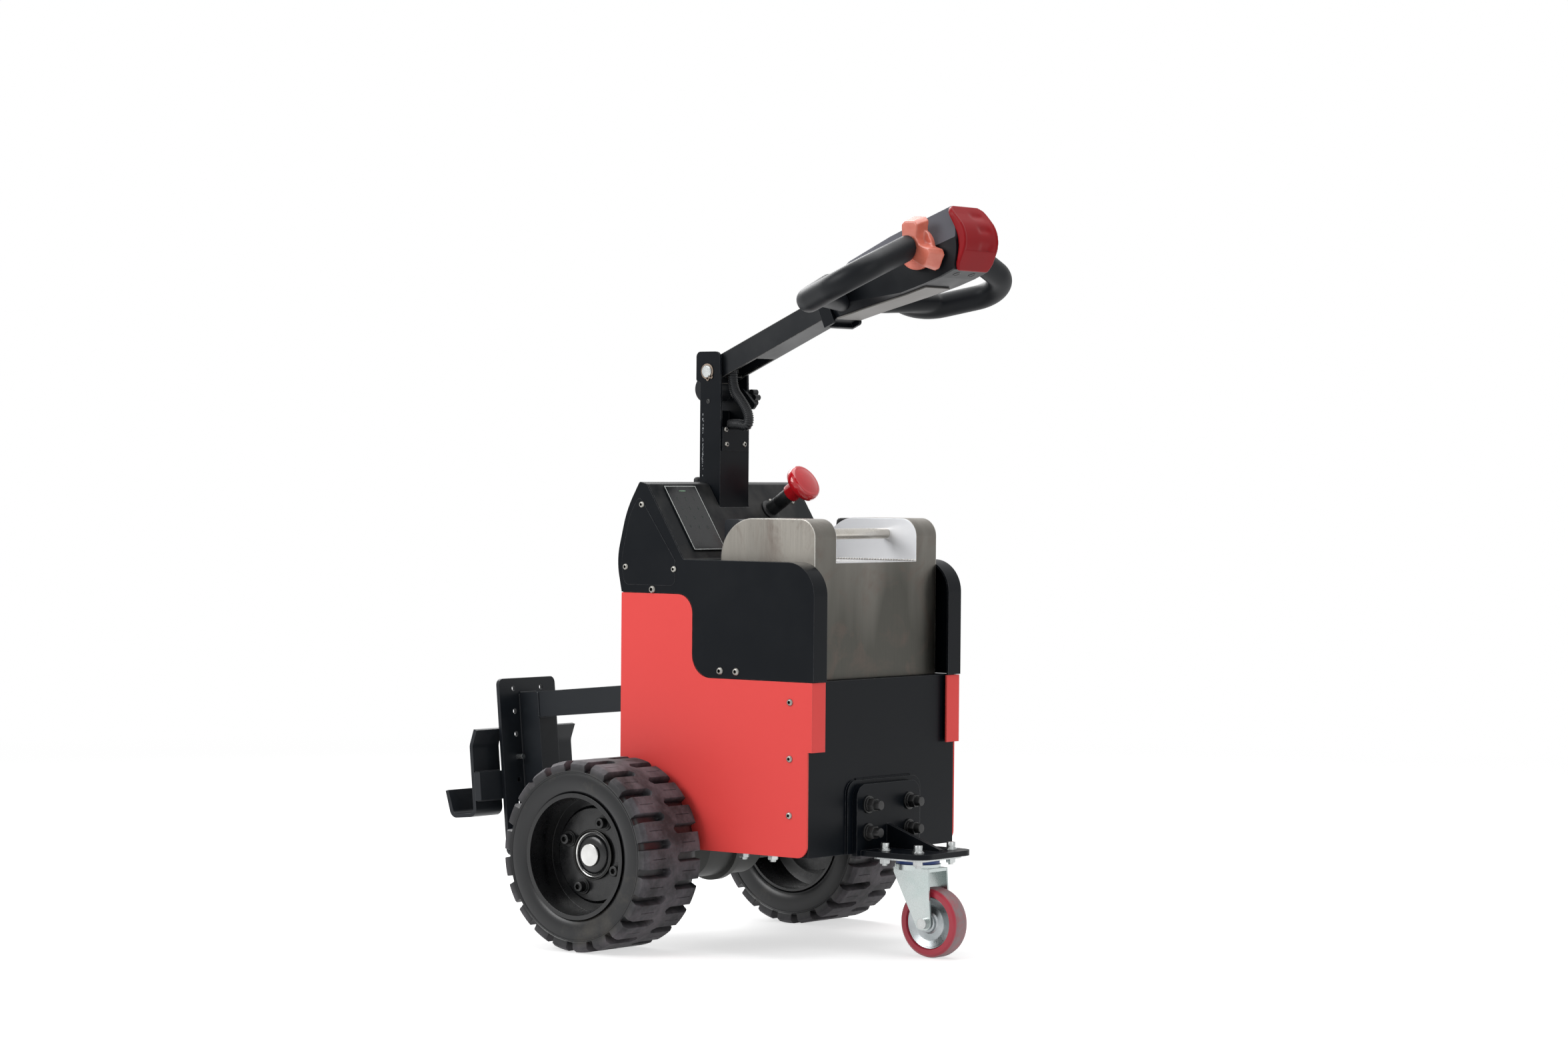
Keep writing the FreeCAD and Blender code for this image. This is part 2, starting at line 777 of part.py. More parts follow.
def battery_connector():
    """The lead's housing, on the shroud's top between the console and the battery's ears."""
    low = shroud_top_z + seat_gap
    return slab([
        (X(connector_back), low),
        (X(connector_back), low + connector_high, connector_r),
        (X(connector_front), low + connector_high, connector_r),
        (X(connector_front), low),
    ], connector_y - connector_wide / 2, connector_y + connector_wide / 2)


def isolator_knob():
    y = half_width - lip_width / 2
    low = rod(isolator_r, Vector(X(isolator_x), y, shroud_top_z),
              Vector(X(isolator_x), y, shroud_top_z + isolator_high))
    return low.makeFillet(6, low.Edges[:1])


# ---------------------------------------------------------------- column
def column():
    x0 = X(0)
    x1 = X(column_depth)
    w = column_half_width
    tube = block(x0, x1, -w, w, shelf_z, column_top_z)
    tube = tube.cut(block(x0 + column_wall, x1 - column_wall, -w + column_wall, w - column_wall,
                          shelf_z - 1, column_top_z + 1))
    window = block(x1 - column_wall - 1, x1 + 1, -w + column_wall, w - column_wall,
                   column_window_z, column_top_z + 1)
    tube = tube.cut(window)
    pieces = [tube]
    right_ear = (-w, ear_plate_back, ear_plate_low_z)
    left_ear = (w - column_wall, ear_guard_back, ear_guard_low_z)
    for y0, back, low in (right_ear, left_ear):
        pieces.append(slab([
            (x0, column_top_z - 2),
            (x0, low, 4),
            (X(back), low, 4),
            (X(back), ear_plate_top_z, 8),
            (X(ear_plate_front), ear_plate_top_z, 10),
            (x1, column_top_z - 2),
        ], y0, y0 + column_wall))
    body = fuse(pieces)
    return body.cut(rod_y(pivot_pin_r + run_gap, pivot.x, pivot_z, -w - 1, w + 1))


def column_cover():
    x1 = X(column_depth)
    w = column_half_width - cover_inset
    return block(x1, x1 + cover_thick, -w, w, column_window_z - cover_height, column_window_z)


def pivot_pin():
    w = column_half_width + pivot_pin_stand
    pin = rod_y(pivot_pin_r, pivot.x, pivot_z, -w, w)
    rings = []
    for y0 in (-column_half_width - 1.8, column_half_width + 0.3):
        rings.append(rod_y(pivot_pin_r + 3, pivot.x, pivot_z, y0, y0 + 1.5))
    return fuse([pin] + rings)


def tilt_strap():
    y = column_half_width - column_wall
    return slab([(X(24), 822, 4), (X(33), 830, 4), (X(60), 803, 4), (X(52), 795, 4)], y - 5, y)


def star_knob():
    lobes = []
    centre = Vector(X(36), 0, 815)
    y0 = column_half_width + seat_gap
    for i in range(6):
        a = math.radians(i * 60)
        lobes.append(rod_y(4.5, centre.x + 9 * math.cos(a), centre.z + 9 * math.sin(a), y0 + 4, y0 + 16))
    lobes.append(rod_y(9.5, centre.x, centre.z, y0 + 4, y0 + 16))
    lobes.append(rod_y(6, centre.x, centre.z, y0, y0 + 4))
    return fuse(lobes)


# ---------------------------------------------------------------- tiller arm and head
def tiller_arm():
    w = tiller_width / 2
    h = tiller_height / 2
    s0 = pivot.x - tiller_tail
    s1 = pivot.x + tiller_reach
    tube = block(s0, s1, -w, w, pivot_z - h, pivot_z + h)
    tube = tube.cut(block(s0 - 1, s1 + 1, -w + tiller_wall, w - tiller_wall,
                          pivot_z - h + tiller_wall, pivot_z + h - tiller_wall))
    slot = block(pivot.x + tiller_slot_start, pivot.x + tiller_slot_end, -tiller_slot_half, tiller_slot_half,
                 pivot_z - h - 1, pivot_z - h + tiller_wall + 1)
    tube = tube.cut(slot)
    a = math.radians(tail_disc_lean)
    disc = rod_y(tail_disc_r, pivot.x - tail_disc_drop * math.sin(a), pivot_z - tail_disc_drop * math.cos(a),
                 -tail_disc_half, tail_disc_half)
    boss = rod_y(pivot_pin_r + 5, pivot.x, pivot_z, -w, w)
    arm = fuse([tube, boss, disc])
    arm = arm.cut(rod_y(pivot_pin_r + run_gap, pivot.x, pivot_z, -w - 1, w + 1))
    return tilt_tiller(arm)


def head_bracket():
    """A U-shaped bracket on the tube's end, with the head's root clasped between its cheeks."""
    w = root_half_width + seat_gap + head_plate
    x0 = pivot.x + tiller_reach
    x1 = x0 + head_plate + bracket_cheek
    low = pivot_z + bracket_low_n
    pieces = [block(x0, x0 + head_plate, -w, w, low, pivot_z + tiller_height / 2)]
    for y0 in (-w, w - head_plate):
        cheek = slab([
            (x0, low),
            (x1, low, bracket_cheek / 3),
            (x1, pivot_z + bracket_cheek_top_n, bracket_cheek / 3),
            (x0, pivot_z + bracket_cheek_top_n),
        ], y0, y0 + head_plate)
        pieces.append(cheek)
    return tilt_tiller(fuse(pieces))


head_start = tiller_reach + head_plate + seat_gap


def tiller_slab(points, y0, y1):
    """A slab whose outline is given as (s, n) along and above the tiller's axis."""
    placed = [(pivot.x + p[0], pivot_z + p[1]) + tuple(p[2:]) for p in points]
    return tilt_tiller(slab(placed, y0, y1))


def section(s, low, chine, wide, top):
    """An eight-sided cross-section of the head at s; each argument is a (half width, n) pair."""
    right = [on_tiller(s, -y, n) for y, n in (low, chine, wide, top)]
    left = [on_tiller(s, y, n) for y, n in (top, wide, chine, low)]
    return right + left


def head_end(out):
    """The head's convex end from top to bottom as (s, n), moved out by the given distance."""
    return [
        (head_nose_top_s + out, collar_top_n + 3),
        (head_nose_s + out, head_nose_n, head_nose_r),
        (head_nose_low_s + out, collar_low_n - 3),
    ]


def end_s(n, out):
    """How far along the tiller the head's end reaches at height n, moved out."""
    top, middle, low = head_end(out)
    if n > middle[1]:
        return middle[0] + (top[0] - middle[0]) * (n - middle[1]) / (top[1] - middle[1])
    return middle[0] + (low[0] - middle[0]) * (n - middle[1]) / (low[1] - middle[1])


def handle_head():
    """The control head's faceted housing, from its narrow root to the wide collar."""
    w = collar_half_width
    r = root_half_width
    clasp = head_start + bracket_cheek + 2
    cover = head_cover_thick
    body = loft([
        section(head_start, (24, root_low_n), (r, -14), (r, 6), (18, 20)),
        section(clasp, (26, root_low_n - 2 + cover), (r, -8), (r, 10), (19, 28)),
        section(clasp + 8, (30, root_low_n - 3 + cover), (37, -8), (38, 10), (20, 31)),
        section(clasp + 48, (31, -35 + cover), (40, -21), (43, 6), (22, 43)),
        section(clasp + 131, (32, -49 + cover), (43, -46), (w, -2), (23, 44)),
        section(collar_s - 30, (36, collar_low_n + cover + 0.5), (44, collar_low_n + cover + 1),
                (w, -7), (24, 42)),
        section(collar_s, (40, collar_low_n), (44, collar_low_n + 1),
                (w, collar_split_n), (collar_top_half, 40)),
        section(head_nose_s + 1, (40, collar_low_n), (44, collar_low_n + 1), (w, collar_split_n - 4),
                (collar_top_half, collar_top_n)),
    ])
    past = head_end(0) + [(head_nose_s + 60, collar_low_n - 3), (head_nose_s + 60, collar_top_n + 3)]
    return body.cut(tiller_slab(past, -w - 5, w + 5))


grip_start = Vector(throttle_s, -(collar_half_width + throttle_stand + throttle_disc + throttle_wing_out
                                  + throttle_to_grip), throttle_n)


def grip_corners():
    """The right loop's spar corners as points: start, outer corner, back corner, root."""
    start = on_tiller(grip_start.x, grip_start.y, grip_start.z)
    return start, on_tiller(415, -203.5, -44.7), on_tiller(270, -135.3, -19.0), on_tiller(302.4, -38, 20.1)


def grip_loop():
    """One loop of the handle: a round spar from the throttle out, back and in to the head's root, where a
    lower spar and a web widen it. The throttle's shaft stands out of its start."""
    start, corner, back, root = grip_corners()
    first = (corner - start).normalize()
    bar_start = start - first * grip_r
    path = rounded_path([bar_start, corner, back, root], [grip_front_r, grip_back_r])
    circle = Part.Wire(Part.makeCircle(grip_r, bar_start, first))
    bar = path.makePipeShell([circle], True, False)
    inward = Part.makeBox(400, 100, 400, Vector(start.x - 200, start.y, start.z - 200))
    bar = bar.cut(inward)
    lower_out = on_tiller(311, -144, -22)
    lower_in = on_tiller(272, -26, -11)
    lower = rod(grip_root_r, lower_out, lower_in)
    web_in = on_tiller(302.4, -34, 20.1)
    web_out = on_tiller(290, -122, -14)
    face = Part.Face(Part.makePolygon([lower_in, web_in, web_out, lower_in]))
    face.translate(Vector(0, 0, -grip_web_half))
    web = face.extrude(Vector(0, 0, 2 * grip_web_half))
    stub = rod(shaft_r, on_tiller(grip_start.x, -collar_half_width + 6, grip_start.z),
               start + Vector(0, -1, 0))
    loop = fuse([bar, lower, web, stub])
    return loop.cut(handle_head()).cut(head_bracket_room())


def head_bracket_room():
    """The space that the bracket's cheeks and the tube take up, with a little air round them."""
    w = root_half_width + seat_gap + head_plate + seat_gap
    s1 = head_start + bracket_cheek + seat_gap
    return tiller_slab([(200, -80), (s1, -80), (s1, 80), (200, 80)], -w, w)


def throttles():
    """Two butterfly throttles on the shaft between the head and the grips."""
    y1 = -(collar_half_width + throttle_stand)
    y2 = y1 - throttle_disc
    y3 = y2 - throttle_wing_out
    x = pivot.x + throttle_s
    z = pivot_z + throttle_n
    disc = rod_y(throttle_r, x, z, y2, y1)
    boss = rod_y(throttle_boss_r, x, z, y3, y2)
    pieces = [disc, boss]
    for degrees in throttle_wing_angles:
        a = math.radians(degrees)
        u = Vector(math.cos(a), 0, math.sin(a))
        v = Vector(-math.sin(a), 0, math.cos(a))
        centre = Vector(x, 0, z)
        tip = centre + u * throttle_wing
        corners = [
            centre - v * throttle_wing_root,
            tip - v * throttle_wing_half - u * 6,
            tip - v * (throttle_wing_half - 6),
            tip + v * (throttle_wing_half - 6),
            tip + v * throttle_wing_half - u * 6,
            centre + v * throttle_wing_root,
        ]
        foot = [p + Vector(0, y1 - 1, 0) for p in corners]
        crest = [centre + (p - centre) * 0.82 + Vector(0, y3, 0) for p in corners]
        pieces.append(loft([foot, crest]))
    right = fuse(pieces)
    right = right.cut(rod_y(shaft_r + run_gap, x, z, y3 - 1, y1 + 1))
    right = tilt_tiller(right)
    return Part.makeCompound([right, mirror(right)])


def belly_button():
    """The safety button over the head's end, convex in side view with rounded corners."""
    outer_s = head_nose_s + belly_out
    points = [
        (end_s(belly_high - 2, seat_gap), belly_high - 2),
        (head_nose_s + seat_gap, head_nose_n, head_nose_r),
        (end_s(belly_low + 4, seat_gap), belly_low + 4),
        (end_s(belly_low, seat_gap) + 4, belly_low, 3),
        (outer_s, head_nose_n - 1, belly_bend_r),
        (head_nose_top_s + 6, belly_high + 2),
        (head_nose_top_s + 2, belly_high + 2, 2),
    ]
    pad = tiller_slab(points, -belly_half_width, belly_half_width)
    crown_n = belly_high - belly_crown_r
    start = head_nose_low_s - 20
    crown = rod(belly_crown_r, on_tiller(start, 0, crown_n), on_tiller(outer_s, 0, crown_n))
    case = block(pivot.x + start, pivot.x + outer_s, -belly_half_width, belly_half_width,
                 pivot_z + belly_low, pivot_z + belly_high - 4)
    corners = [e for e in case.Edges if e.BoundBox.XLength > outer_s - start - 1]
    return pad.common(crown).common(tilt_tiller(case.makeFillet(belly_round, corners)))


def head_cover():
    """The grey cover let into the head's underside."""
    t = head_cover_thick
    low = slab_line(head_cover_start, head_cover_end)
    cover = tiller_slab([(s, n) for s, n in low] + [(s, n + t - seat_gap) for s, n in low[::-1]],
                        -head_cover_half, head_cover_half)
    return cover.cut(handle_head())


def slab_line(s0, s1):
    """The cover's lower line under the head as (s, n) points."""
    clasp = head_start + bracket_cheek + 2
    knots = [(clasp, root_low_n - 2), (clasp + 8, root_low_n - 3), (clasp + 48, -35), (clasp + 131, -49),
             (collar_s - 30, collar_low_n + 0.5)]

    def level(s):
        for (a, na), (b, nb) in zip(knots, knots[1:]):
            if a <= s <= b:
                return na + (nb - na) * (s - a) / (b - a)
        return knots[-1][1]

    inside = [(s, n) for s, n in knots if s0 < s < s1]
    return [(s0, level(s0))] + inside + [(s1, level(s1))]


# ---------------------------------------------------------------- conduit
def conduit():
    """Corrugated conduit from the column's window up to the slot under the tiller arm."""
    points = [
        Vector(X(column_wall + conduit_r / 4) + seat_gap, conduit_y, column_window_z + 1),
        Vector(X(44), conduit_y, column_window_z + 11),
        Vector(X(71), conduit_y, column_window_z + 6.5),
        Vector(X(75), conduit_y, column_window_z + 25),
        Vector(X(46), conduit_y, pivot_z - 27),
        Vector(X(47), conduit_y, pivot_z + 4),
    ]
    path = rounded_path(points, [1000.0] * (len(points) - 2))
    circle = Part.Wire(Part.makeCircle(conduit_r, points[0], points[1] - points[0]))
    return path.makePipeShell([circle], True, False)


# ---------------------------------------------------------------- hitch
post_face = hitch_pivot.x - hitch_reach
post_back = post_face - hitch_tube
plate_back = post_back - hitch_plate_thick
plate_top = hitch_pivot_z + hitch_tube / 2 + hitch_plate_over
bar_back = plate_back - cross_bar_thick
bar_top = plate_top - cross_bar_drop


def hitch_arm():
    h = hitch_tube / 2
    t = hitch_tube_wall
    tube = block(post_face, hitch_pivot.x, -h, h, hitch_pivot_z - h, hitch_pivot_z + h)
    tube = tube.cut(block(post_face - 1, hitch_pivot.x + 1, -h + t, h - t,
                          hitch_pivot_z - h + t, hitch_pivot_z + h - t))
    boss = rod_y(h, hitch_pivot.x, hitch_pivot_z, -h, h)
    arm = fuse([tube, boss])
    arm = arm.cut(rod_y(hitch_pin_r + run_gap, hitch_pivot.x, hitch_pivot_z, -h - 1, h + 1))
    return droop_hitch(arm)


def hitch_post():
    h = hitch_tube / 2
    t = hitch_tube_wall
    low = plate_top - hitch_plate_height + 12
    tube = block(post_back, post_face, -h, h, low, hitch_pivot_z + h)
    tube = tube.cut(block(post_back + t, post_face - t, -h + t, h - t, low - 1, hitch_pivot_z + h - t))
    return droop_hitch(tube)


def hitch_plate():
    w = hitch_plate_half
    low = plate_top - hitch_plate_height
    plate = block(plate_back, post_back, -w, w, low, plate_top)
    corners = [e for e in plate.Edges if abs(e.BoundBox.XLength - hitch_plate_thick) < 0.01]
    plate = plate.makeFillet(10.0, corners)
    for i in range(hitch_hole_rows):
        z = plate_top - hitch_hole_down - i * hitch_hole_pitch
        for y in (-hitch_hole_y, hitch_hole_y):
            hole = Part.makeCylinder(hitch_hole_r, 20, Vector(plate_back - 5, y, z), Vector(1, 0, 0))
            plate = plate.cut(hole)
    return droop_hitch(plate)


def hitch_cross_bar():
    bar = block(bar_back, plate_back, -hook_outer, hook_outer, bar_top - cross_bar_height, bar_top)
    return droop_hitch(bar)


def hitch_hooks():
    """Two J-shaped saddles, bent from plate, on the cross bar's ends."""
    t = hook_plate
    x0 = bar_back
    top = bar_top + hook_above
    low = bar_top - cross_bar_height - hook_below
    lip_x = x0 - t - hook_mouth
    outer_r = 14.0
    profile = [
        (x0, top - 24, 20),
        (x0 + 11, top),
        (x0 + 11 - t, top + 2),
        (x0 - t, top - 23, 16),
        (x0 - t, low + t, outer_r - t),
        (lip_x, low + t, outer_r - t),
        (lip_x - 9, low + hook_lip),
        (lip_x - 9 - t, low + hook_lip - 1),
        (lip_x - t, low, outer_r),
        (x0, low, outer_r),
    ]
    hooks = []
    for y0 in (-hook_outer, hook_outer - hook_width):
        hooks.append(droop_hitch(slab(profile, y0, y0 + hook_width)))
    return Part.makeCompound(hooks)


def hitch_studs():
    z = plate_top - hitch_hole_down - 3 * hitch_hole_pitch
    studs = []
    for y in (-hitch_hole_y, hitch_hole_y):
        stud = Part.makeCylinder(hitch_hole_r, 22, Vector(plate_back - 4, y, z), Vector(1, 0, 0))
        studs.append(droop_hitch(stud))
    return Part.makeCompound(studs)


def hitch_pin():
    w = hitch_tube / 2 + move_gap + frame_wall + 3
    return rod_y(hitch_pin_r, hitch_pivot.x, hitch_pivot_z, -w, w)


# ---------------------------------------------------------------- caster
plate_low = caster_plate_z
plate_high = caster_plate_z + caster_plate_thick
bracket_x = X(body_front) + backing_thick


def caster_bracket():
    """An angle bracket: an upright plate on the body's end, a foot plate and a gusset between them."""
    x0 = bracket_x
    t = bracket_thick
    upright = block(x0, x0 + t, -bracket_half, bracket_half, plate_high, bracket_high)
    corners = [e for e in upright.Edges
               if abs(e.BoundBox.XLength - t) < 0.01 and e.BoundBox.ZMin > bracket_high - 1]
    upright = upright.makeFillet(20.0, corners)
    w = bracket_half - bracket_foot_in
    foot = block(x0, X(bracket_out), -w, w, plate_high, plate_high + t)
    ends = [e for e in foot.Edges
            if abs(e.BoundBox.ZLength - t) < 0.01 and e.BoundBox.XMin > X(bracket_out) - 1]
    foot = foot.makeFillet(25.0, ends)
    gusset = slab([
        (x0 + t - 1, plate_high + t - 1),
        (X(bracket_out) - 15, plate_high + t - 1),
        (X(bracket_out) - 15, plate_high + t + 3),
        (x0 + t - 1, plate_high + gusset_high),
    ], -gusset_thick / 2, gusset_thick / 2)
    bracket = fuse([upright, foot, gusset])
    for dx in (-caster_bolt_x / 2, caster_bolt_x / 2):
        for dy in (-caster_bolt_y / 2, caster_bolt_y / 2):
            bracket = bracket.cut(rod(4.2, Vector(X(caster_x) + dx, dy, plate_high - 1),
                                      Vector(X(caster_x) + dx, dy, plate_high + t + 1)))
    return bracket


def bracket_bolts():
    """Four cap screws on washers that hold the bracket to the body."""
    x0 = bracket_x + bracket_thick
    x1 = x0 + washer_thick
    bolts = []
    for y in (-bracket_bolt_y, bracket_bolt_y):
        for z in bracket_bolt_z:
            washer = rod(cap_screw_washer_r, Vector(x0, y, z), Vector(x1, y, z))
            head = rod(cap_screw_r, Vector(x1, y, z), Vector(x1 + cap_screw_head, y, z))
            tip = rod(cap_screw_r - 1.5, Vector(x1 + cap_screw_head, y, z),
                      Vector(x1 + cap_screw_head + 8, y, z))
            bolts.append(fuse([washer, head, tip]))
    return Part.makeCompound(bolts)


def caster_plate():
    x = X(caster_x)
    plate = block(x - caster_plate_x / 2, x + caster_plate_x / 2, -caster_plate_y / 2, caster_plate_y / 2,
                  plate_low, plate_high)
    corners = [e for e in plate.Edges if abs(e.BoundBox.ZLength - caster_plate_thick) < 0.01]
    plate = plate.makeFillet(10.0, corners)
    pieces = [plate]
    for dx in (-caster_bolt_x / 2, caster_bolt_x / 2):
        for dy in (-caster_bolt_y / 2, caster_bolt_y / 2):
            pieces.append(rod(4.0, Vector(x + dx, dy, plate_low - 7),
                              Vector(x + dx, dy, plate_high + bracket_thick + 9)))
    return fuse(pieces)


def bearing_ring():
    x = X(caster_x)
    cup = rod(bearing_r, Vector(x, 0, plate_low - bearing_high), Vector(x, 0, plate_low))
    king = rod(6.0, Vector(x, 0, plate_low - 18), Vector(x, 0, plate_low))
    return fuse([cup, king])


def caster_fork():
    x = X(caster_x)
    wheel_x = x + caster_trail
    wheel_z = caster_od / 2
    top = plate_low - bearing_high - seat_gap
    w = caster_width / 2 + fork_gap
    crown = rod(bearing_r + 2, Vector(x, 0, top - 8), Vector(x, 0, top))
    bridge = block(x - 20, wheel_x + 6, -w - fork_sheet, w + fork_sheet, top - 10, top - 5)
    pieces = [crown, bridge]
    for y0 in (-w - fork_sheet, w):
        pieces.append(slab([
            (x - 26, top - 5),
            (wheel_x + 6, top - 5),
            (wheel_x + 12, wheel_z - 10, 10),
            (wheel_x - 12, wheel_z - 10, 10),
            (x - 26, top - 12),
        ], y0, y0 + fork_sheet))
    fork = fuse(pieces)
    fork = fork.cut(rod_y(caster_axle_r, wheel_x, wheel_z, -w - 10, w + 10))
    return fork.cut(rod(6.0 + run_gap, Vector(x, 0, top - 30), Vector(x, 0, top + 1)))


def caster_axle():
    w = caster_width / 2 + fork_gap + fork_sheet
    wheel_x = X(caster_x + caster_trail)
    wheel_z = caster_od / 2
    bolt = rod_y(caster_axle_r, wheel_x, wheel_z, -w - 6, w + 6)
    nuts = [rod_y(8, wheel_x, wheel_z, -w - 7, -w), rod_y(8, wheel_x, wheel_z, w, w + 5)]
    return fuse([bolt] + nuts)


def caster_hub():
    wheel_x = X(caster_x + caster_trail)
    wheel_z = caster_od / 2
    w = caster_width / 2
    hub_body = rod_y(caster_hub_r, wheel_x, wheel_z, -w + 3, w - 3)
    boss = rod_y(14, wheel_x, wheel_z, -w - 3, w + 3)
    return fuse([hub_body, boss]).cut(rod_y(caster_axle_r + run_gap, wheel_x, wheel_z, -w - 4, w + 4))


def caster_tread():
    wheel_x = X(caster_x + caster_trail)
    r = caster_od / 2
    w = caster_width / 2
    profile = [
        (caster_hub_r, -w + 3), (caster_hub_r + 1, -w), (r - 5, -w), (r - 1.5, -w + 3), (r, -w + 8),
        (r, w - 8), (r - 1.5, w - 3), (r - 5, w), (caster_hub_r + 1, w), (caster_hub_r, w - 3),
    ]
    return ring_y(profile, wheel_x, r)


# ---------------------------------------------------------------- the nodes
nodes = {
    "chassis_frame": chassis(),
    "frame_front_sheet": frame_front(),
    "side_panel_right": side_panel(),
    "side_panel_left": mirror(side_panel()),
    "shroud_side_right": shroud_side(),
    "shroud_side_left": mirror(shroud_side()),
    "console_shell": console_shell(),
    "keypad": keypad(),
    "cable_gland": cable_gland(),
    "emergency_stop_stalk": stop_stalk(),
    "emergency_stop_button": stop_button(),
    "battery_pack": battery_pack(),
    "battery_handle": battery_handle(),
    "battery_connector": battery_connector(),
    "isolator_knob": isolator_knob(),
    "transaxle": transaxle(),
    "column": column(),
    "column_cover": column_cover(),
    "tiller_pivot_pin": pivot_pin(),
    "tilt_strap": tilt_strap(),
    "star_knob": star_knob(),
    "tiller_conduit": conduit(),
    "tiller_arm": tiller_arm(),
    "head_bracket": head_bracket(),
    "handle_head": handle_head(),
    "head_cover": head_cover(),
    "grip_loop_right": grip_loop(),
    "grip_loop_left": mirror(grip_loop()),
    "throttle_butterflies": throttles(),
    "belly_button": belly_button(),
    "hitch_pivot_pin": hitch_pin(),
    "hitch_arm": hitch_arm(),
    "hitch_post": hitch_post(),
    "hitch_plate": hitch_plate(),
    "hitch_cross_bar": hitch_cross_bar(),
    "hitch_hooks": hitch_hooks(),
    "hitch_studs": hitch_studs(),
    "caster_bracket": caster_bracket(),
    "bracket_bolts": bracket_bolts(),
    "caster_plate": caster_plate(),
    "caster_bearing": bearing_ring(),
    "caster_fork": caster_fork(),
    "caster_axle": caster_axle(),
    "caster_hub": caster_hub(),
    "caster_tread": caster_tread(),
    "tyre_right": tyre(),
    "tyre_left": mirror(tyre()),
    "rim_right": rim(),
    "rim_left": mirror(rim()),
    "hub_right": hub(),
    "hub_left": mirror(hub()),
    "axle_cap_right": axle_cap(),
    "axle_cap_left": mirror(axle_cap()),
}

os.makedirs("parts", exist_ok=True)
everything = FreeCAD.BoundBox()
for name, shape in nodes.items():
    everything.add(shape.BoundBox)
    state = "valid" if shape.isValid() else "BAD"
    print(name, len(shape.Solids), "solids", round(shape.Volume / 1e6, 3), "litres", state)
    shape.exportStep("parts/" + name + ".step")
print("box", everything)
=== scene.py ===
import bpy
import bmesh
import math
from mathutils import Matrix, Vector, noise


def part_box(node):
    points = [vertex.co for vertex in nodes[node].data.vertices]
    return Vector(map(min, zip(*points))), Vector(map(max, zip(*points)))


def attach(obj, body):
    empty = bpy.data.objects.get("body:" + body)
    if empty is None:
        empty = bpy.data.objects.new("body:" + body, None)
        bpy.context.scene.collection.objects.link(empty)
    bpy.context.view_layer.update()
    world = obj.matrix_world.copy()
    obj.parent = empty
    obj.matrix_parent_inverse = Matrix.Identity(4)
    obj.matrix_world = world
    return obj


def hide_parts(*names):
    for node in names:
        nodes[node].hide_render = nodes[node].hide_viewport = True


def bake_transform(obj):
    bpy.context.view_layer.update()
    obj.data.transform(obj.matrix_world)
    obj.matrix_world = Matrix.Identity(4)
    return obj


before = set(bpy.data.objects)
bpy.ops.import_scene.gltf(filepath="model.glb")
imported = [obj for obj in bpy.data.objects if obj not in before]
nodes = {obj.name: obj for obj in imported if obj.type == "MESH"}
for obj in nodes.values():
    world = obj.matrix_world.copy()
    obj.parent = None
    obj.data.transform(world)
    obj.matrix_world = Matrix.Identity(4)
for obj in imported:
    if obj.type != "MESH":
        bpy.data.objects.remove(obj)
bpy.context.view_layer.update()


# ---- Camera
# A long lens at waist height, looking along the machine from its operator's right-hand corner.
yaw, pitch, roll = math.radians(38.63), math.radians(-0.80), math.radians(0.46)
forward = Vector((-math.sin(yaw) * math.cos(pitch), math.cos(yaw) * math.cos(pitch), math.sin(pitch)))
level = Vector((math.cos(yaw), math.sin(yaw), 0.0))
above = level.cross(forward)
right = math.cos(roll) * level + math.sin(roll) * above
up = -math.sin(roll) * level + math.cos(roll) * above
camera = bpy.data.objects.new("camera", bpy.data.cameras.new("camera"))
camera.data.sensor_width = 36.0
camera.data.lens = 90.96
camera.data.clip_end = 60.0
stand = Vector((3.79957, -4.62374, 0.70963))
camera.matrix_world = Matrix.Translation(stand) @ Matrix((right, up, -forward)).transposed().to_4x4()
bpy.context.scene.collection.objects.link(camera)
bpy.context.scene.camera = camera


# ---- Studio
# Four large soft lamps, a white world and a pale floor that fades into it and holds the machine's shadow.
def linear(code):
    """An sRGB hex colour as linear RGBA."""
    parts = [int(code[i:i + 2], 16) / 255 for i in (1, 3, 5)]
    return [c / 12.92 if c <= 0.04045 else ((c + 0.055) / 1.055) ** 2.4 for c in parts] + [1.0]


def add(tree, kind, inputs=None, **settings):
    """Adds a node with its settings, fixed inputs and links; a node as an input links its first output."""
    node = tree.nodes.new(kind)
    for key, value in settings.items():
        setattr(node, key, value)
    for key, value in (inputs or {}).items():
        if isinstance(value, bpy.types.Node):
            value = value.outputs[0]
        if isinstance(value, bpy.types.NodeSocket):
            tree.links.new(value, node.inputs[key])
        else:
            node.inputs[key].default_value = value
    return node


def lamp(name, place, size, watts, target=(0.0, 0.0, 0.5)):
    """A white rectangular soft box at a place, facing its target."""
    data = bpy.data.lights.new(name, "AREA")
    data.shape = "RECTANGLE"
    data.size, data.size_y = size
    data.energy = watts
    piece = bpy.data.objects.new(name, data)
    piece.location = place
    piece.rotation_mode = "QUATERNION"
    piece.rotation_quaternion = (Vector(target) - Vector(place)).to_track_quat("-Z", "Y")
    bpy.context.scene.collection.objects.link(piece)


lamp("lamp_key", (-1.6, -3.4, 2.6), (2.4, 2.0), 95.0)
lamp("lamp_fill", (3.6, -0.6, 1.9), (2.0, 2.4), 17.0)
lamp("lamp_top", (0.2, 0.4, 3.4), (3.0, 2.6), 66.0)
lamp("lamp_back", (-2.3, 1.3, 2.5), (2.2, 1.6), 60.0, (0.3, 0.0, 1.0))

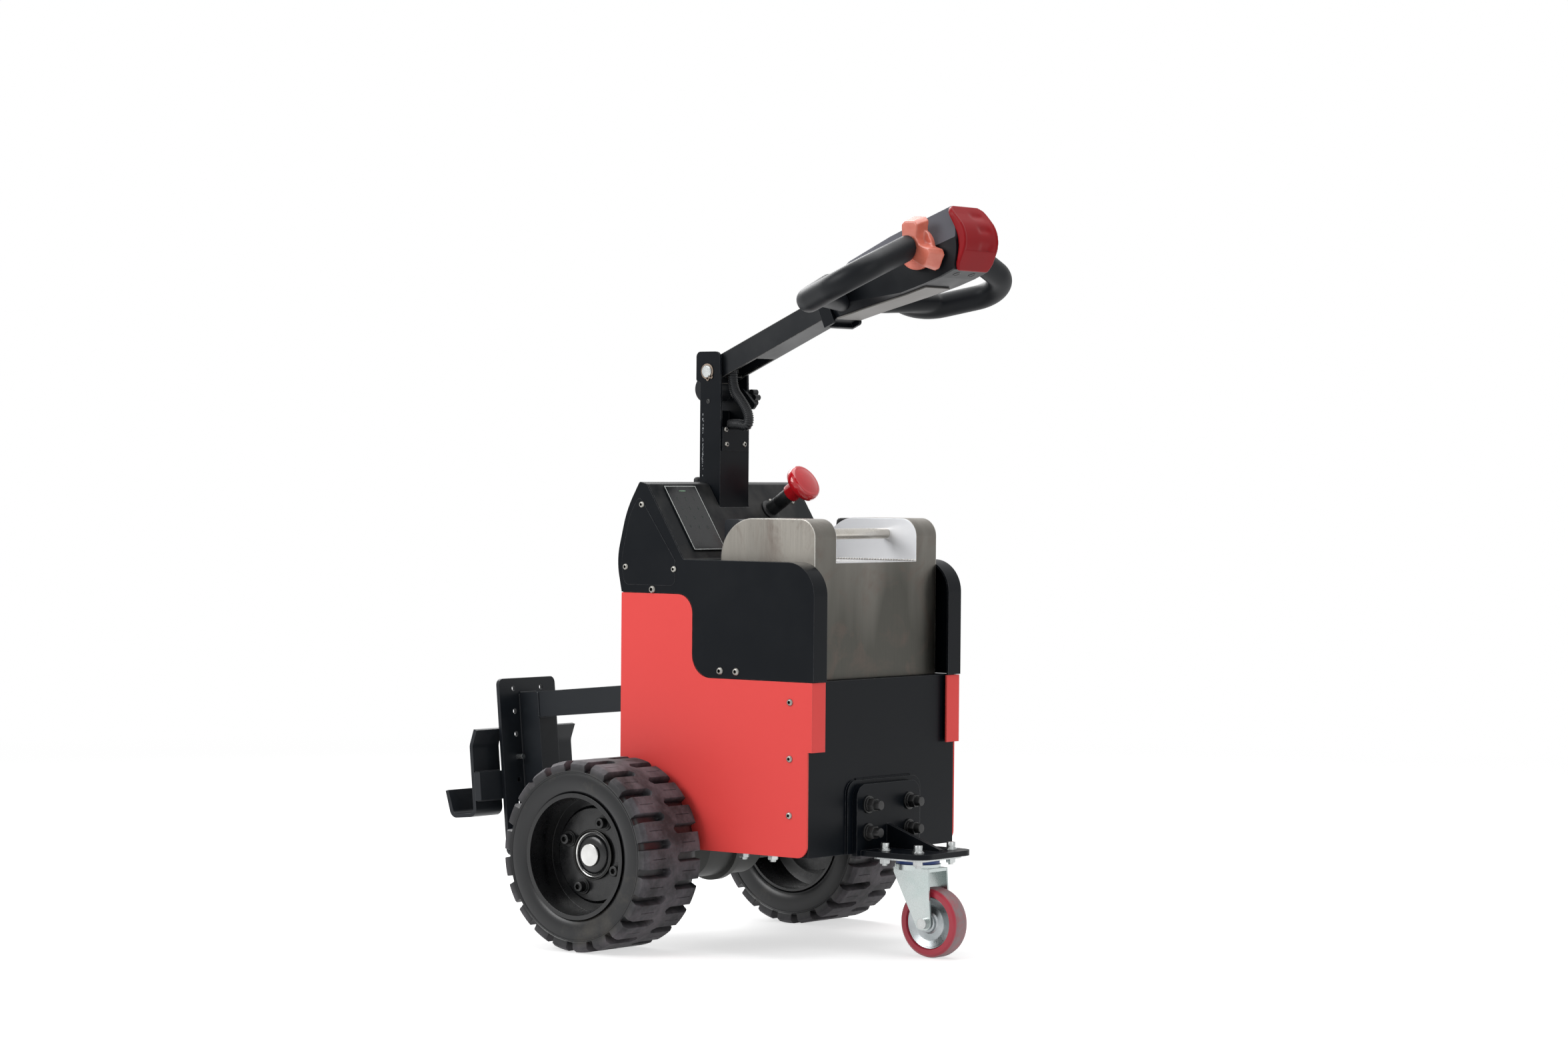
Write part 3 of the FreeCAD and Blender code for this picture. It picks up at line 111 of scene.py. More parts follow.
white_light = (1.0, 1.0, 1.0, 1.0)
world = bpy.data.worlds.new("studio")
bpy.context.scene.world = world
world.use_nodes = True
tree = world.node_tree
tree.nodes.clear()
ray = add(tree, "ShaderNodeLightPath")
seen = add(tree, "ShaderNodeMath", {
    0: ray.outputs["Is Camera Ray"], 1: ray.outputs["Is Transmission Ray"]}, operation="MAXIMUM")
dim = add(tree, "ShaderNodeBackground", {"Color": white_light, "Strength": 0.42})
gloss = add(tree, "ShaderNodeBackground", {"Color": white_light, "Strength": 0.8})
white = add(tree, "ShaderNodeBackground", {"Color": white_light, "Strength": 1.0})
first = add(tree, "ShaderNodeMixShader", {0: ray.outputs["Is Glossy Ray"], 1: dim, 2: gloss})
mixed = add(tree, "ShaderNodeMixShader", {0: seen, 1: first, 2: white})
add(tree, "ShaderNodeOutputWorld", {"Surface": mixed})

mesh = bpy.data.meshes.new("floor")
sheet = bmesh.new()
floor_r = 14.0
bmesh.ops.create_circle(sheet, cap_ends=True, radius=floor_r, segments=96)
sheet.to_mesh(mesh)
sheet.free()
floor = bpy.data.objects.new("floor", mesh)
floor.location = (0.0, 0.0, -0.0005)
bpy.context.scene.collection.objects.link(floor)
paper = bpy.data.materials.new("white_studio_paper")
paper.use_nodes = True
tree = paper.node_tree
tree.nodes.clear()
place = add(tree, "ShaderNodeTexCoord").outputs["Object"]
reach = add(tree, "ShaderNodeVectorMath", {0: place}, operation="LENGTH")
fade = add(tree, "ShaderNodeMapRange", {0: reach.outputs["Value"], 1: 1.2, 2: 4.5, 3: 0.0, 4: 1.0})
ray = add(tree, "ShaderNodeLightPath")
seen = add(tree, "ShaderNodeMath", {
    0: ray.outputs["Is Camera Ray"], 1: ray.outputs["Is Glossy Ray"]}, operation="MAXIMUM")
seen = add(tree, "ShaderNodeMath", {0: seen, 1: ray.outputs["Is Transmission Ray"]}, operation="MAXIMUM")
plain = add(tree, "ShaderNodeBsdfDiffuse", {"Color": (0.55, 0.55, 0.55, 1.0)})
glow = add(tree, "ShaderNodeEmission", {"Color": white_light, "Strength": 0.62})
lifted = add(tree, "ShaderNodeAddShader", {0: plain, 1: glow})
bounce = add(tree, "ShaderNodeBsdfDiffuse", {"Color": (0.8, 0.8, 0.8, 1.0)})
away = add(tree, "ShaderNodeEmission", {"Color": white_light, "Strength": 1.0})
near = add(tree, "ShaderNodeMixShader", {0: seen, 1: bounce, 2: lifted})
far = add(tree, "ShaderNodeMixShader", {0: seen, 1: bounce, 2: away})
both = add(tree, "ShaderNodeMixShader", {0: fade, 1: near, 2: far})
add(tree, "ShaderNodeOutputMaterial", {"Surface": both})
floor.data.materials.append(paper)


# ---- Drive tyres
# Solid rubber on a pressed rim: two rows of lugs, half a pitch apart, with open shoulders and a fine sipe
# across each lug. The flanks are smooth and satin, and the tread carries floor dust.
def blank(name):
    """A new node material and its tree, empty."""
    material = bpy.data.materials.new(name)
    material.use_nodes = True
    material.node_tree.nodes.clear()
    return material, material.node_tree


def settle(form, name, body, material, crease=40.0, inner=None):
    """Makes a piece of a bmesh: smooth, but crisp at edges sharper than crease, riding on a body."""
    bmesh.ops.recalc_face_normals(form, faces=form.faces)
    for edge in form.edges:
        edge.smooth = len(edge.link_faces) == 2 and edge.calc_face_angle(0.0) < math.radians(crease)
    for face in form.faces:
        face.smooth = True
    mesh = bpy.data.meshes.new(name)
    form.to_mesh(mesh)
    form.free()
    mesh.materials.append(material)
    if inner:
        mesh.materials.append(inner)
    piece = bpy.data.objects.new(name, mesh)
    bpy.context.scene.collection.objects.link(piece)
    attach(piece, body)
    return piece


def skin(form, rings, ends=True):
    """Joins each closed ring of corners to the next with a band of quads, and closes the two ends."""
    for low, high in zip(rings, rings[1:]):
        for i in range(len(low)):
            j = (i + 1) % len(low)
            form.faces.new((low[i], low[j], high[j], high[i]))
    if ends:
        form.faces.new(rings[0][::-1])
        form.faces.new(rings[-1])


def turned(form, profile, place, axis, steps, socket_from=None):
    """Adds a turned shape along axis from place, from rings of (radius, height). A third value makes a ring
    a hexagon, and bands from socket_from on take the piece's second material."""
    lean = Vector(axis).to_track_quat("Z", "Y")
    rings = []
    for ring in profile:
        corners = []
        for i in range(steps if ring[0] > 0 else 1):
            a = 2 * math.pi * i / steps
            r = ring[0]
            if len(ring) > 2:
                r *= math.cos(math.pi / 6) / math.cos((a % (math.pi / 3)) - math.pi / 6)
            across = Vector((r * math.cos(a), r * math.sin(a), ring[1]))
            corners.append(form.verts.new(Vector(place) + lean @ across))
        rings.append(corners)
    for band, (low, high) in enumerate(zip(rings, rings[1:])):
        for i in range(steps):
            j = (i + 1) % steps
            face = []
            for v in (low[i % len(low)], low[j % len(low)], high[j % len(high)], high[i % len(high)]):
                if v not in face:
                    face.append(v)
            if len(face) > 2:
                form.faces.new(face).material_index = int(socket_from is not None and band >= socket_from)


axle = Vector((-0.032, 0.0, 0.140))
tyre_face = 0.314
tyre_width = 0.127
lug_top = 0.1399
groove_floor = 0.1280
sipe_deep = 0.0025
lug_rows = [((0.1245, 0.4), (0.1245, 0.4)), ((0.1270, 0.1), (0.1250, 0.6)), ((0.1340, 0.0), (0.1254, 1.6)),
            ((0.1352, 0.5), (0.1256, 3.0)), ((0.1388, 5.6), (0.1262, 6.2)), ((0.1398, 7.4), (0.1270, 8.0)),
            ((0.1400, 9.0), (0.1275, 9.4))]
flank_rows = [(0.0902, 9.0), (0.0910, 7.0), (0.0930, 4.6), (0.0955, 3.0), (0.0980, 2.0), (0.1010, 1.2),
              (0.1050, 0.6), (0.1090, 0.35), (0.1130, 0.3), (0.1170, 0.6), (0.1195, 1.0), (0.1212, 1.4),
              (0.1218, 0.6), (0.1228, 0.3), (0.1236, 1.0)]
tread_rows = [(d, 0.0) for d in (12.0, 15.0, 15.6, 22.0, 30.0, 38.0, 43.4, 44.0)]
pitches = 21
lug = 0.67
wall = 0.04
groove_width = 1.0 - lug - 2 * wall
round_off = 0.012
rounded_share = 0.965
sipe_half = 0.01


def lug_shape(u):
    """How much of a lug stands u pitches past its start, and where u lies in the groove or on the sipe."""
    w = u % 1.0
    if w <= lug:
        stands = 1.0 if round_off < w < lug - round_off else rounded_share
        return stands, 0.0, abs(w - lug / 2) < sipe_half
    if w < lug + wall or w > 1.0 - wall:
        return max(0.0, 1.0 - min(w - lug, 1.0 - w) / wall), 0.0, False
    return 0.0, (w - lug - wall) / groove_width, False


def tyre_rows(u):
    """The section's outer half at u pitches, from bead to middle, as (radius, distance in from the face)."""
    stands, groove, sipe = lug_shape(u)
    rows = [(r, d / 1000) for r, d in flank_rows]
    for (lug_r, lug_d), (low_r, low_d) in lug_rows:
        rows.append((low_r + (lug_r - low_r) * stands, (low_d + (lug_d - low_d) * stands) / 1000))
    end = 57.5 - 4.5 * (2.0 * groove - 1.0) ** 2
    end_wall = [(end - 5.0, 0.0), (end - 4.0, 0.08), (end - 2.8, 0.34), (end - 1.2, 0.80), (end, 1.0)]
    for d, climb in tread_rows + end_wall + [(60.0, 1.0), (62.0, 1.0)]:
        low_r = groove_floor + (lug_top - 0.0001 - groove_floor) * climb
        r = low_r + (lug_top - low_r) * stands
        if sipe and 15.3 < d < 43.7:
            r -= sipe_deep
        rows.append((r, d / 1000))
    return rows


def tyre_form(side):
    """A tyre as a ring of sections, its inner lugs half a pitch out of step. Side is 1 for left or -1."""
    form = bmesh.new()
    near, beside = round_off + 0.001, sipe_half + 0.0001
    marks = [-wall, -wall / 2, 0.0, near, lug / 4, lug * 3 / 4, lug - near, lug, lug + wall / 2, lug + wall]
    marks += [lug / 2 + off for off in (-beside, -0.0075, 0.0075, beside)]
    marks += [lug + wall + groove_width * share for share in (0.12, 0.3, 0.5, 0.7, 0.88)]
    turns = sorted({round((m + shift) % 1.0, 4) for m in marks for shift in (0.0, 0.5)})
    columns = []
    for pitch in range(pitches):
        for turn in turns:
            a = 2 * math.pi * (pitch + turn) / pitches - math.pi / 2
            outer = tyre_rows(turn)
            inner = tyre_rows(turn + 0.5)
            loop = [(r, tyre_face - d) for r, d in outer] + [(0.140, tyre_face - tyre_width / 2)]
            loop += [(r, tyre_face - tyre_width + d) for r, d in reversed(inner)]
            columns.append([form.verts.new((axle.x + r * math.cos(a), side * y, axle.z + r * math.sin(a)))
                            for r, y in loop])
    skin(form, columns + columns[:1], ends=False)
    return form


def tyre_rubber():
    """Black carbon rubber: dull and fine-grained, with grey dust on the lugs' tops and a scuffed flank."""
    material, tree = blank("solid_tyre_rubber")
    place = add(tree, "ShaderNodeTexCoord").outputs["Object"]
    spot = add(tree, "ShaderNodeSeparateXYZ", {0: place})
    ahead = add(tree, "ShaderNodeMath", {0: spot.outputs[0], 1: axle.x}, operation="SUBTRACT")
    above = add(tree, "ShaderNodeMath", {0: spot.outputs[2], 1: axle.z}, operation="SUBTRACT")
    flat = add(tree, "ShaderNodeCombineXYZ", {0: ahead, 2: above})
    reach = add(tree, "ShaderNodeVectorMath", {0: flat}, operation="LENGTH")
    tread = add(tree, "ShaderNodeMapRange", {
        0: reach.outputs["Value"], 1: 0.1255, 2: 0.1385, 3: 0.0, 4: 1.0})
    cloud = add(tree, "ShaderNodeTexNoise", {
        "Vector": place, "Scale": 22.0, "Detail": 5.0, "Roughness": 0.65})
    grit = add(tree, "ShaderNodeTexNoise", {"Vector": place, "Scale": 420.0, "Detail": 3.0})
    dusty = add(tree, "ShaderNodeMapRange", {0: cloud, 1: 0.38, 2: 0.72, 3: 0.08, 4: 0.80})
    dust = add(tree, "ShaderNodeMath", {0: dusty, 1: tread}, operation="MULTIPLY")
    scuffs = add(tree, "ShaderNodeTexNoise", {
        "Vector": place, "Scale": 11.0, "Detail": 6.0, "Roughness": 0.7})
    scuff = add(tree, "ShaderNodeMapRange", {0: scuffs, 1: 0.54, 2: 0.72, 3: 0.0, 4: 0.42})
    flank = add(tree, "ShaderNodeMix", {
        0: scuff, 6: linear("#131416"), 7: linear("#514C44")}, data_type="RGBA")
    shade = add(tree, "ShaderNodeMix", {
        0: dust, 6: flank.outputs[2], 7: linear("#68646A")}, data_type="RGBA")
    gloss = add(tree, "ShaderNodeMapRange", {0: tread, 1: 0.0, 2: 1.0, 3: 0.32, 4: 0.70})
    bump = add(tree, "ShaderNodeBump", {"Height": grit, "Strength": 0.3, "Distance": 0.0002})
    shader = add(tree, "ShaderNodeBsdfPrincipled", {
        "Base Color": shade.outputs[2], "Roughness": gloss, "Normal": bump, "Specular IOR Level": 0.42})
    add(tree, "ShaderNodeOutputMaterial", {"Surface": shader})
    return material


rubber = tyre_rubber()
for side, hand in ((-1, "right"), (1, "left")):
    piece = settle(tyre_form(side), "drive_tyre_" + hand, "wheel_" + hand, rubber, 30.0)
    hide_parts("tyre_" + hand)


# ---- Rims, hubs and wheel bolts
# Pressed steel rims in black stoving enamel, with a turned hub: a bright machined ring round a black glossy
# dome, a chromed shaft end, and four black socket-head bolts on stacked washers.
def grains(size_mm):
    """A noise texture's scale for grains of this size; one of its cells spans about 2.2 grains."""
    return 1000.0 / (size_mm * 2.2)


def edge_mask(tree, radius_mm, sharp=6.0):
    """1 on outer edges and 0 on flats, from how the rounded normal departs from the flat one."""
    flat = add(tree, "ShaderNodeNewGeometry")
    soft = add(tree, "ShaderNodeBevel", {"Radius": radius_mm / 1000}, samples=4)
    same = add(tree, "ShaderNodeVectorMath", {0: flat.outputs["Normal"], 1: soft}, operation="DOT_PRODUCT")
    worn = add(tree, "ShaderNodeMapRange", {
        0: same.outputs["Value"], 1: 1.0, 2: 1.0 - 1.0 / sharp, 3: 0.0, 4: 1.0})
    return worn, soft


def enamel(name, colour, dust, rough, dust_share, edge_mm=1.0):
    """Stoved enamel: smooth and glossy, with dust settled in soft patches."""
    material, tree = blank(name)
    place = add(tree, "ShaderNodeTexCoord").outputs["Object"]
    cloud = add(tree, "ShaderNodeTexNoise", {
        "Vector": place, "Scale": 28.0, "Detail": 6.0, "Roughness": 0.7})
    grit = add(tree, "ShaderNodeTexNoise", {"Vector": place, "Scale": 500.0, "Detail": 2.0})
    _, soft = edge_mask(tree, edge_mm)
    settled = add(tree, "ShaderNodeMapRange", {0: cloud, 1: 0.50, 2: 0.78, 3: 0.0, 4: dust_share})
    shade = add(tree, "ShaderNodeMix", {0: settled, 6: linear(colour), 7: linear(dust)}, data_type="RGBA")
    gloss = add(tree, "ShaderNodeMapRange", {0: cloud, 1: 0.35, 2: 0.75, 3: rough, 4: rough + 0.3})
    bump = add(tree, "ShaderNodeBump", {
        "Height": grit, "Strength": 0.05, "Distance": 0.0002, "Normal": soft})
    shader = add(tree, "ShaderNodeBsdfPrincipled", {
        "Base Color": shade.outputs[2], "Roughness": gloss, "Normal": bump})
    add(tree, "ShaderNodeOutputMaterial", {"Surface": shader})
    return material


def clad(material, *names):
    """Gives CAD nodes a material."""
    for name in names:
        piece = nodes[name]
        piece.data.materials.clear()
        piece.data.materials.append(material)


def plated(name, colour, rough, tint, grain_mm=0.6):
    """Plated or polished steel: a faint cloudy tint, and scratches drawn coarser than real ones, to show."""
    material, tree = blank(name)
    place = add(tree, "ShaderNodeTexCoord").outputs["Object"]
    lines = add(tree, "ShaderNodeTexNoise", {"Vector": place, "Scale": grains(grain_mm), "Detail": 4.0})
    cloud = add(tree, "ShaderNodeTexNoise", {"Vector": place, "Scale": 30.0, "Detail": 4.0})
    _, soft = edge_mask(tree, 0.5)
    spread = add(tree, "ShaderNodeMapRange", {0: cloud, 1: 0.4, 2: 0.75, 3: 0.0, 4: 0.8})
    base = add(tree, "ShaderNodeMix", {0: spread, 6: linear(colour), 7: linear(tint)}, data_type="RGBA")
    gloss = add(tree, "ShaderNodeMapRange", {
        0: lines, 1: 0.3, 2: 0.7, 3: max(rough - 0.05, 0.03), 4: rough + 0.1})
    bump = add(tree, "ShaderNodeBump", {
        "Height": lines, "Strength": 0.1, "Distance": 0.0002, "Normal": soft})
    shader = add(tree, "ShaderNodeBsdfPrincipled", {
        "Base Color": base.outputs[2], "Metallic": 1.0, "Roughness": gloss, "Normal": bump})
    add(tree, "ShaderNodeOutputMaterial", {"Surface": shader})
    return material


rim_enamel = enamel("black_stoving_enamel", "#0B0C0E", "#3C3A38", 0.15, 0.10)
chrome = plated("hard_chrome", "#D8D8D6", 0.08, "#B8B8B6")
turned_steel = plated("oiled_turned_steel", "#3E3E3D", 0.20, "#2A2A29")
bolt_black = enamel("blackened_bolt_steel", "#121314", "#3A3835", 0.26, 0.25, 0.4)
clad(rim_enamel, "rim_right", "rim_left")
clad(chrome, "axle_cap_right", "axle_cap_left")
disc_y = 0.268
bolt_circle_r = 0.052
bolt_turn = 67


def socket_bolt(form, place, axis, r, high):
    """A cap screw's head: straight sides, a rounded edge and a hexagon socket."""
    turned(form, [(r, 0.0), (r, high - 0.0012), (r - 0.0005, high - 0.0004), (r - 0.0014, high),
                  (r * 0.55, high, 1), (r * 0.55, high * 0.45, 1), (0.0, high * 0.40)], place, axis, 30)


def washer(form, place, axis, r, hole, thick):
    """A flat washer with a broken outer edge."""
    turned(form, [(hole, 0.0), (r, 0.0), (r, thick - 0.0004), (r - 0.0004, thick), (hole, thick)], place,
           axis, 36)


for side, hand in ((-1, "right"), (1, "left")):
    out = Vector((0.0, side, 0.0))
    centre = Vector((axle.x, side * disc_y, axle.z))
    ring = bmesh.new()
    turned(ring, [(0.0372, 0.0), (0.0372, 0.0040), (0.0368, 0.0047), (0.0360, 0.0050), (0.0350, 0.0048),
                  (0.0344, 0.0040), (0.0336, 0.0022), (0.0322, 0.0014)], centre, out, 72, 6)
    ring_piece = settle(ring, "hub_ring_" + hand, "wheel_" + hand, turned_steel, inner=chrome)
    dome = bmesh.new()
    turned(dome, [(0.0250, -0.0080), (0.0620, -0.0080), (0.0620, -0.0140), (0.0200, -0.0140),
                  (0.0200, -0.1070), (0.0, -0.1070)], centre, out, 48)
    turned(dome, [(0.0322, 0.0014), (0.0312, 0.0012), (0.0298, 0.0018), (0.0290, 0.0030), (0.0282, 0.0046),
                  (0.0262, 0.0061), (0.0230, 0.0071), (0.0190, 0.0077), (0.0168, 0.0079)], centre, out, 64)
    dome_piece = settle(dome, "hub_dome_" + hand, "wheel_" + hand, rim_enamel)
    bolts = bmesh.new()
    washers = bmesh.new()
    for i in range(4):
        a = math.radians(bolt_turn + 90 * i)
        spot = centre + Vector((math.cos(a), 0.0, math.sin(a))) * bolt_circle_r
        washer(washers, spot, out, 0.0120, 0.0070, 0.0022)
        washer(washers, spot + out * 0.0023, out, 0.0096, 0.0070, 0.0014)
        socket_bolt(bolts, spot + out * 0.0037, out, 0.0080, 0.0100)
    bolt_piece = settle(bolts, "wheel_bolts_" + hand, "wheel_" + hand, bolt_black)
    washer_piece = settle(washers, "wheel_washers_" + hand, "wheel_" + hand, bolt_black)
    for piece in (ring_piece, dome_piece, bolt_piece, washer_piece):
        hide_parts("hub_" + hand)


# ---- Frame tub, hitch end sheet and transaxle
# Folded 3 mm and 4 mm steel, welded, in satin black powder coat: fine orange peel, a little dust, a painted
# pale highlight line along outer edges and small rubbed chips on them. The transaxle is a sand-cast housing
# in grey primer.
def powder_coat(name, colour, worn, rough, dust, specular, chips=0.75, edge_mm=0.9):
    """Powder coat with orange peel, dusty where it faces up, and pale on its outer edges: partly a painted
    highlight, partly worn by chips.
    """
    peel_mm = 0.9
    painted_edge_highlight = 0.35
    material, tree = blank(name)
    place = add(tree, "ShaderNodeTexCoord").outputs["Object"]
    cloud = add(tree, "ShaderNodeTexNoise", {"Vector": place, "Scale": 9.0, "Detail": 4.0, "Roughness": 0.6})
    speck = add(tree, "ShaderNodeTexNoise", {"Vector": place, "Scale": 150.0, "Detail": 3.0})
    peel = add(tree, "ShaderNodeTexNoise", {"Vector": place, "Scale": grains(peel_mm), "Detail": 2.0})
    edge, soft = edge_mask(tree, edge_mm)
    # Painted highlight: every outer edge is paled at least this much, standing in for light caught along the
    # edges; speckled chips raise it further as real wear.
    broken = add(tree, "ShaderNodeMapRange", {0: speck, 1: 0.45, 2: 0.70, 3: painted_edge_highlight, 4: chips})
    edge_highlight_and_wear = add(tree, "ShaderNodeMath", {0: edge, 1: broken}, operation="MULTIPLY")
    spread = add(tree, "ShaderNodeMapRange", {0: cloud, 1: 0.45, 2: 0.75, 3: 0.0, 4: dust})
    tilted = add(tree, "ShaderNodeSeparateXYZ", {0: add(tree, "ShaderNodeNewGeometry").outputs["Normal"]})
    facing = add(tree, "ShaderNodeMapRange", {0: tilted.outputs[2], 1: 0.20, 2: 0.55, 3: 0.25, 4: 1.0})
    settled = add(tree, "ShaderNodeMath", {0: spread, 1: facing}, operation="MULTIPLY")
    base = add(tree, "ShaderNodeMix", {
        0: settled, 6: linear(colour), 7: linear("#8C8A86")}, data_type="RGBA")
    shade = add(tree, "ShaderNodeMix", {0: edge_highlight_and_wear, 6: base.outputs[2], 7: linear(worn)}, data_type="RGBA")
    gloss = add(tree, "ShaderNodeMapRange", {0: cloud, 1: 0.3, 2: 0.7, 3: rough - 0.06, 4: rough + 0.10})
    bump = add(tree, "ShaderNodeBump", {
        "Height": peel, "Strength": 0.10, "Distance": 0.0002, "Normal": soft})
    shader = add(tree, "ShaderNodeBsdfPrincipled", {
        "Base Color": shade.outputs[2], "Roughness": gloss, "Normal": bump, "Specular IOR Level": specular})
    add(tree, "ShaderNodeOutputMaterial", {"Surface": shader})
    return material


black_coat = powder_coat("black_powder_coat", "#0A0E13", "#7C7E80", 0.33, dust=0.015, specular=0.12)
# The console's heavy pale dust on up-facing faces is partly dust and partly a painted reflection along its
# slope.
clad(powder_coat("dust_and_painted_sheen_black_coat", "#0C1014", "#8C8E90", 0.36, dust=0.22, specular=0.16),
     "console_shell")
clad(black_coat, "chassis_frame", "frame_front_sheet", "shroud_side_right", "shroud_side_left",
     "column", "column_cover", "tilt_strap", "head_bracket", "caster_bracket")
# Painted light: the hitch's coat is a lighter black than the tub's, standing in for light on parts that
# stand in shadow.
painted_light_hitch_coat = powder_coat("painted_light_satin_black_hitch_coat", "#171B20", "#5A5C5E", 0.38, dust=0.04, specular=0.26)
clad(painted_light_hitch_coat, "hitch_arm", "hitch_post", "hitch_plate", "hitch_cross_bar", "hitch_hooks")
# The tiller arm's wide pale edges are partly a painted highlight and partly rubbed wear.
clad(powder_coat("rubbed_black_coat_painted_edge_light", "#14171B", "#A8A49C", 0.34, dust=0.14, chips=0.9, specular=0.22,
                 edge_mm=1.6), "tiller_arm")


def moulded(name, colour, rough, grain_mm=0.5, strength=0.2, coat=0.0, shift=0.08, edge_mm=1.0,
            specular=0.35, top=None):
    """Moulded plastic, rubber or a casting: fine-grained, and painted paler where it faces up if top is
    given, a painted highlight from above.
    """
    material, tree = blank(name)
    place = add(tree, "ShaderNodeTexCoord").outputs["Object"]
    cloud = add(tree, "ShaderNodeTexNoise", {"Vector": place, "Scale": 14.0, "Detail": 3.0})
    grain = add(tree, "ShaderNodeTexNoise", {"Vector": place, "Scale": grains(grain_mm), "Detail": 3.0})
    _, soft = edge_mask(tree, edge_mm)
    tone = add(tree, "ShaderNodeMapRange", {0: cloud, 1: 0.3, 2: 0.7, 3: 1.0 - shift, 4: 1.0 + shift})
    tilted = add(tree, "ShaderNodeSeparateXYZ", {0: add(tree, "ShaderNodeNewGeometry").outputs["Normal"]})
    # Painted light: faces turned up blend towards the top colour, a painted highlight from above.
    lit = add(tree, "ShaderNodeMapRange", {0: tilted.outputs[2], 1: 0.15, 2: 0.60, 3: 0.0, 4: 1.0})
    painted_top_light = add(tree, "ShaderNodeMix", {
        0: lit, 6: linear(colour), 7: linear(top or colour)}, data_type="RGBA")
    base = add(tree, "ShaderNodeHueSaturation", {"Color": painted_top_light.outputs[2], "Value": tone})
    gloss = add(tree, "ShaderNodeMapRange", {0: cloud, 1: 0.3, 2: 0.7, 3: rough - 0.05, 4: rough + 0.07})
    bump = add(tree, "ShaderNodeBump", {
        "Height": grain, "Strength": strength, "Distance": 0.0002, "Normal": soft})
    shader = add(tree, "ShaderNodeBsdfPrincipled", {
        "Base Color": base, "Roughness": gloss, "Normal": bump, "Coat Weight": coat,
        "Specular IOR Level": specular})
    add(tree, "ShaderNodeOutputMaterial", {"Surface": shader})
    return material


clad(moulded("grey_cast_iron", "#565755", 0.55, grain_mm=1.5, strength=0.5, shift=0.2), "transaxle")


# ---- Side panels
# Red powder-coated sheet with a return flange at the operator's end, held by three button-head screws each.
# The coat has a fine orange peel; the screws are dulled zinc, their sockets painted near-black as shade.
def button_screw(form, place, axis, r):
    """A button-head screw: a low dome with a hexagon socket."""
    turned(form, [(r, 0.0), (r * 0.98, r * 0.16), (r * 0.86, r * 0.40), (r * 0.66, r * 0.54),
                  (r * 0.5, r * 0.57), (r * 0.48, r * 0.56, 1), (r * 0.46, r * 0.12, 1), (0.0, r * 0.10)],
           place, axis, 24, 5)


panel_face = 0.178
red_coat = powder_coat("red_powder_coat", "#E04845", "#E88A80", 0.42, dust=0.02, chips=0.5, specular=0.25)
clad(red_coat, "side_panel_right", "side_panel_left")
zinc = plated("bright_zinc_plate", "#C9CCCB", 0.28, "#9A9EA0")
screw_zinc = plated("dulled_zinc_plate", "#A8A6A0", 0.36, "#7C7A76")
# Painted shade: the screws' hexagon sockets take this near-black, standing in for the shade inside them.
socket_shade = moulded("painted_socket_shade", "#141413", 0.7, edge_mm=0.1, specular=0.2)
for side, hand in ((-1, "right"), (1, "left")):
    screws = bmesh.new()
    for z in (0.3719, 0.2905, 0.2091):
        button_screw(screws, (0.2605, side * panel_face, z), (0, side, 0), 0.0052)
    settle(screws, "side_panel_screws_" + hand, "machine", screw_zinc, inner=socket_shade)


# ---- Drive-wheel tub: the backing plate's weld and the floor's bolts
# The backing plate at the caster end is MIG-welded on along its top and coated over. Four zinc bolts hold
# the transaxle's cradle up against the tub's floor.
def run_bead(form, points, r, steps=10):
    """A weld bead: a rippled round bead laid along the points, about one ripple a millimetre."""
    track = []
    for a, b in zip(points, points[1:]):
        a, b = Vector(a), Vector(b)
        count = max(int((b - a).length / 0.0007), 2)
        track += [a.lerp(b, i / count) for i in range(count)]
    track.append(Vector(points[-1]))
    rings = []
    for i, spot in enumerate(track):
        ahead = (track[min(i + 1, len(track) - 1)] - track[max(i - 1, 0)]).normalized()
        lean = ahead.to_track_quat("Z", "Y")
        swell = r * (0.86 + 0.14 * math.sin(i * 1.9)) * (1 + 0.10 * noise.noise(spot * 120))
        if i in (0, len(track) - 1):
            swell = r * 0.25
        rings.append([form.verts.new(spot + lean @ Vector((swell * math.cos(t), swell * math.sin(t), 0.0)))
                      for t in [2 * math.pi * k / steps for k in range(steps)]])
    skin(form, rings)


def weld(name, lines, r, body, material):
    """Weld beads along lines, coated with the steel that they join."""
    form = bmesh.new()
    for line in lines:
        run_bead(form, line, r)
    return settle(form, name, body, material, 60.0)


bead_r = 0.0022
backing_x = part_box("chassis_frame")[1].x - 0.0035
backing_top = 0.256 + 0.0005
backing_line = [(backing_x, -0.066, backing_top), (backing_x, 0.066, backing_top)]
weld("backing_weld", [backing_line], bead_r, "machine", black_coat)
tub_underside = 0.1490
nut_and_end = [(0.0, 0.0), (0.0100, 0.0), (0.0100, 0.0018), (0.0080, 0.0018), (0.0080, 0.0019, 1),
               (0.0080, 0.0075, 1), (0.0072, 0.0085, 1), (0.0045, 0.0085), (0.0045, 0.0115), (0.0, 0.0120)]
floor_bolts = bmesh.new()
for x in (0.155, 0.209):
    for y in (-0.150, 0.150):
        turned(floor_bolts, nut_and_end, (x, y, tub_underside), (0, 0, -1), 24)
settle(floor_bolts, "floor_bolts", "machine", zinc)


# ---- Console: cheek covers, screws, key panel and gland
# Each cheek has a thin cover plate let on over the sheet, held by three screws, and a fourth screw holds the
# seam below it. The key panel is dark printed glass film with a pale printed border and a green lamp.
ridge = Vector((-0.013, 0.0, 0.683))
slope_foot = Vector((0.058, 0.0, 0.573))
down = (slope_foot - ridge).normalized()
outward = Vector((-down.z, 0.0, down.x))


def on_slope(d, y, o):
    """A point d down the console's slope, at y across it, o out from it."""
    return ridge + down * d + Vector((0.0, y, 0.0)) + outward * o


